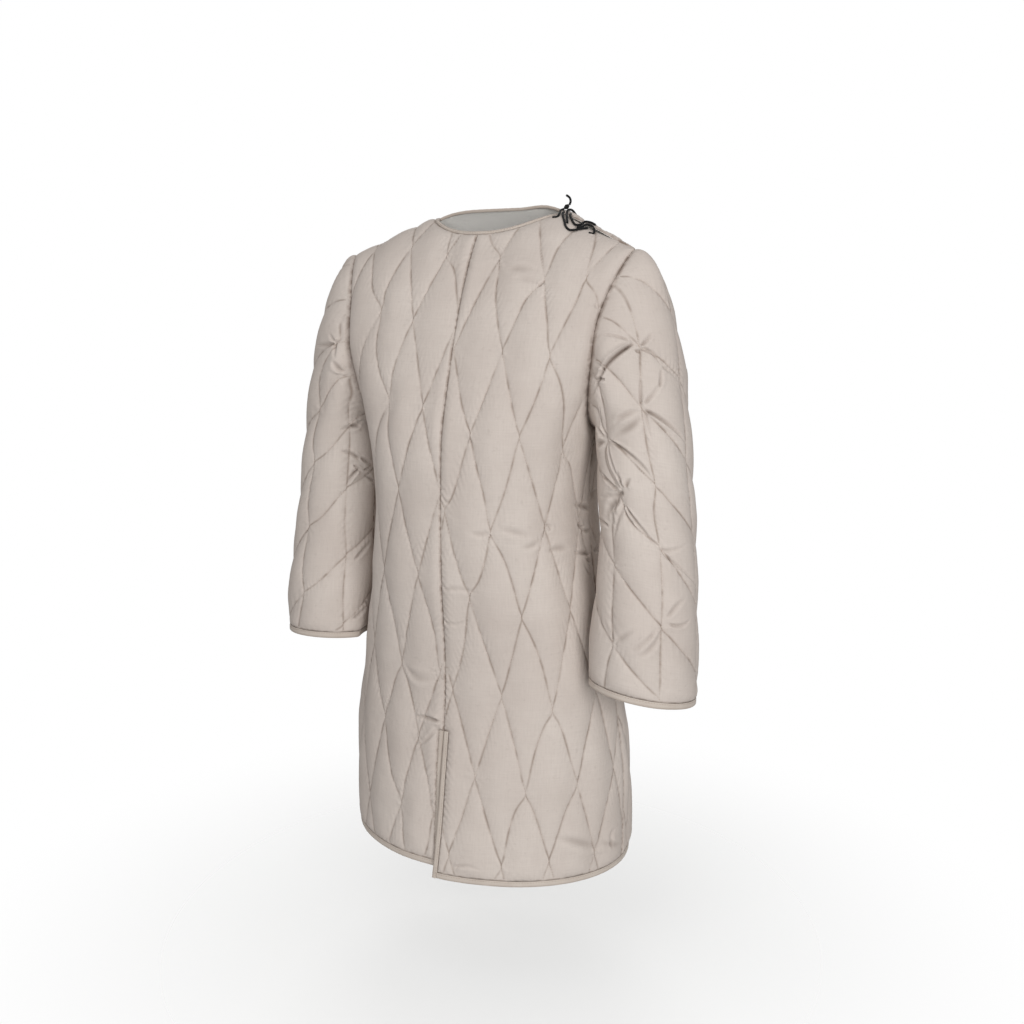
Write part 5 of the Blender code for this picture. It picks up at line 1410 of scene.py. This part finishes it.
def line_runs(name, quilting, outline, place):
    """Runs of points along the quilting lines inside an outline, on the cloth's outside."""
    ticks, flats, runs = quilting.ticks(outline), [], []
    for k in (0, 1):
        for line in range(round(ticks[k][0]), round(ticks[k][-1]) + 1):
            counts = np.full((len(ticks[1 - k]), 2), float(line))
            counts[:, 1 - k] = ticks[1 - k]
            flats.append(quilting.at(counts))
    insets = edge_distance(np.concatenate(flats), outline)
    for flat, inset in zip(flats, np.split(insets, np.cumsum([len(flat) for flat in flats])[:-1])):
        ends = np.flatnonzero(np.diff(np.concatenate([[0], inset > 0.003, [0]])))
        for a, b in zip(ends[::2], ends[1::2]):
            if b - a > 1:
                bend = creases(name, flat[a:b], inset[a:b])
                runs.append(place(*flat[a:b].T, STITCHED + 0.0001 + bend))
    return runs


# ---- Laces ----


def cloth_lift(u, below):
    """How high the left front's outside stands here. By the opening, that is the back's edge."""
    if below < OPENING_REACH + LACE:
        return OPENING_LIFT + STITCHED
    v = float(top_v("front", u)) - below
    edge = float(edge_distance([(u, v)], front_outline(1))[0])
    soft = min(max(edge, 0) / EDGE_EASE, 1)
    return STITCHED + LOFT * float(body_quilting("front_left").rise((u, v))) * soft * (2 - soft)


def over_cloth(u, below, over):
    """The middle of a lace at this point of its route."""
    around = [(0, 0), (LACE, 0), (-LACE, 0), (0, LACE), (0, -LACE)]
    rest = max(cloth_lift(u + a, below + b) for a, b in around) + LACE / 2 + LACE_CLEAR
    return on_front(u, top_v("front", u) - below, rest + over)


def lace_route(rows):
    """The same even points as the solid's middle line, and a finer smooth curve through them."""
    points = np.array([over_cloth(*row) for row in np.array(rows) / 1000])
    run = run_along(points)
    route = eased(np.column_stack([run, points]), np.linspace(0, run[-1], 80))
    count = round(float(run[-1]) / LACE_STEP) + 1
    return evened(route[:, None], max(15, 3 * count))[0][:, 0]


def tube(name, route, material, sides=12):
    """A round cord along a route, closed at both ends, with a UV map along and around it."""
    ahead = unit(np.gradient(route, axis=0))
    side = np.cross(ahead[0], (0.3, 0.2, 0.9))
    turns = np.arange(sides) * 2 * pi / sides
    rings = []
    for spot, way in zip(route, ahead):
        side = unit(side - way * (side @ way))
        around = np.outer(np.cos(turns), side) + np.outer(np.sin(turns), np.cross(way, side))
        rings.append(spot + LACE / 2 * around)
    caps = [
        route[end] + (rings[end] - route[end]) * 0.6 + way * ahead[end] * LACE / 2 * 0.5
        for end, way in ((0, -1), (-1, 1))
    ]
    return skin(name + "_cord", [caps[0], *rings, caps[1]], np.arange(sides) / sides, material)


def knot(start, end, material):
    """Two crossed turns of cord about the place where the laces are tied."""
    run = Vector(end - start)
    half = run.length / 2 - KNOT_CLEAR
    shape = bmesh.new()
    bmesh.ops.create_uvsphere(shape, u_segments=32, v_segments=20, radius=1)
    layer = shape.loops.layers.uv.new("flat")
    for vert in shape.verts:
        x, y, z = vert.co
        # Two strands wind across the bead, with a groove between them.
        groove = abs(sin(3.2 * z + np.arctan2(y, x))) ** 0.5
        vert.co = Vector((x * KNOT_WIDE / 2, y * KNOT_WIDE / 2, z * half)) * (0.84 + 0.2 * groove)
    for face in shape.faces:
        for loop in face.loops:
            co = loop.vert.co
            loop[layer].uv = (co.z + 0.4 * co.x, np.arctan2(co.y, co.x) / (2 * pi))
    bmesh.ops.rotate(shape, matrix=run.to_track_quat("Z", "Y").to_matrix(), verts=shape.verts)
    bmesh.ops.translate(shape, vec=Vector((start + end) / 2), verts=shape.verts)
    mesh = bpy.data.meshes.new("lace_knot_cord")
    shape.to_mesh(mesh)
    shape.free()
    mesh.shade_smooth()
    mesh.materials.append(material)
    return placed("lace_knot_cord", mesh)


# ---- Studio ----

FLOOR, FLOOR_RADIUS = -1.16, 1.2
FLOOR_FADE = (0.15, 0.95)  # the floor melts away between these distances from its middle
AZIMUTH, ELEVATION, DISTANCE = radians(26.9), radians(10.28), 1.803
TARGET = Vector((0.0368, 0.0, -0.4583))
LENS, SENSOR = 40.47, 36.0
LAMPS = (  # name, place, size and power
    ("key softbox", (2.4, -2.3, 0.0), 1.8, 66),
    ("front softbox", (-0.5, -3.3, 1.3), 2.0, 29),
    ("top softbox", (-0.2, -0.9, 2.2), 1.6, 7),
    ("back softbox", (-1.4, 2.6, 1.0), 2.0, 40),
)
LIT = (0, 0, -0.55)  # what the lamps point at
SURROUND = 0.35  # light from all round, beside the lamps


def aimed(item, spot, target):
    item.location = spot
    item.rotation_euler = (Vector(target) - Vector(spot)).to_track_quat("-Z", "Y").to_euler()
    return item


def camera():
    eye = bpy.data.cameras.new("camera")
    eye.lens, eye.sensor_width = LENS, SENSOR
    way = Vector((sin(AZIMUTH) * cos(ELEVATION), -cos(AZIMUTH) * cos(ELEVATION), sin(ELEVATION)))
    bpy.context.scene.camera = aimed(placed("camera", eye), TARGET + way * DISTANCE, TARGET)


def studio():
    """A white floor and surround, and large soft lamps."""
    bpy.ops.mesh.primitive_circle_add(
        vertices=96, radius=FLOOR_RADIUS, fill_type="NGON", location=(0, 0, FLOOR)
    )
    floor = bpy.context.object
    floor.name = "floor"
    floor.data.materials.append(pale_floor())
    floor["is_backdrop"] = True
    world = bpy.data.worlds.new("surround")
    bpy.context.scene.world = world
    world.use_nodes = True
    tree = world.node_tree
    seen = add(tree, "ShaderNodeLightPath").outputs["Is Camera Ray"]
    tree.nodes["Background"].inputs["Color"].default_value = (1, 1, 1, 1)
    tree.links.new(ramp(tree, seen, 0.0, 1.0, SURROUND, 1.0), tree.nodes["Background"].inputs["Strength"])
    for name, place, size, power in LAMPS:
        lamp = bpy.data.lights.new(name, "AREA")
        lamp.size, lamp.energy = size, power
        aimed(placed(name, lamp), place, LIT)
    bpy.context.scene.view_settings.view_transform = "Standard"


# ---- The coat ----


def keep(item, nodes):
    """A piece that stands for CAD nodes, or for none."""
    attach(item, "root")
    if nodes:
        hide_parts(*nodes)


def bindings(tape, tree):
    """The bindings and their rows of stitches, by name."""
    rows = {
        "hem_binding": (hem_rows(), HEM_BAND),
        "slit_binding_left": (slit_rows(1), SLIT_BAND),
        "slit_binding_right": (slit_rows(-1), SLIT_BAND),
        "neck_binding": (neck_band_rows(), NECK_BAND),
        "cuff_binding_left": (cuff_rows(1), CUFF_BAND),
        "cuff_binding_right": (cuff_rows(-1), CUFF_BAND),
    }
    made = {}
    for name, (places, width) in rows.items():
        item, runs = band(name, places, width, tape, name.startswith("cuff"))
        keep(item, [name])
        seam = stitches(name + "_stitches", runs, tree)
        keep(seam, [])
        made[name] = [item, seam]
    return made


def cloth_pieces():
    """Each cloth piece's outline, quilting, way onto the form and rim, and the bindings that go with it."""
    for side, word in ((1, "left"), (-1, "right")):
        name, outline = "front_" + word, front_outline(side)
        rim = body_rim("front", side, outline)
        yield name, outline, body_quilting(name), partial(on_a_front, side), rim, ["slit_binding_" + word]
    outline = back_outline()
    rim = body_rim("back", 0, outline)
    yield "back", outline, body_quilting("back"), on_back, rim, ["hem_binding", "neck_binding"]
    for side, word in ((1, "left"), (-1, "right")):
        name, outline = "sleeve_" + word, sleeve_outline(side)
        rim = sleeve_rim(side, outline)
        place = partial(on_sleeve, side)
        yield name, outline, sleeve_quilting(name, side), place, rim, ["cuff_binding_" + word]


def coat():
    cloth, tape, cord, tree = quilted_cotton(), cotton_tape(), black_cord(), stitch_tree(thread())
    bands = bindings(tape, tree)
    for name, outline, quilting, place, rim, beside in cloth_pieces():
        item = wall(name, outline, quilting, place, cloth, rim)
        keep(item, [name])
        sewn = stitches(name + "_quilting", line_runs(name, quilting, outline, place), tree)
        keep(sewn, [])
        ring = np.array(outline)
        [sewn] + [bands[n][k] for k in (0, 1) for n in beside]

    routes = {name: lace_route(rows) for name, rows in LACES.items()}
    cords = {name: tube(name, route, cord) for name, route in routes.items()}
    bead = knot(routes["lace_front"][-1], routes["lace_end"][0], cord)
    keep(bead, ["lace_knot"])
    for name, item in cords.items():
        keep(item, [name])
        if name == "lace_end":
            continue
        tuple(routes[name][0])
        float(run_along(routes[name])[-1])


camera()
coat()
studio()
({
        name: [list(map(float, corner)) for corner in box]
        for name, box in (("cad", cad_box), ("visual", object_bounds()))
    })
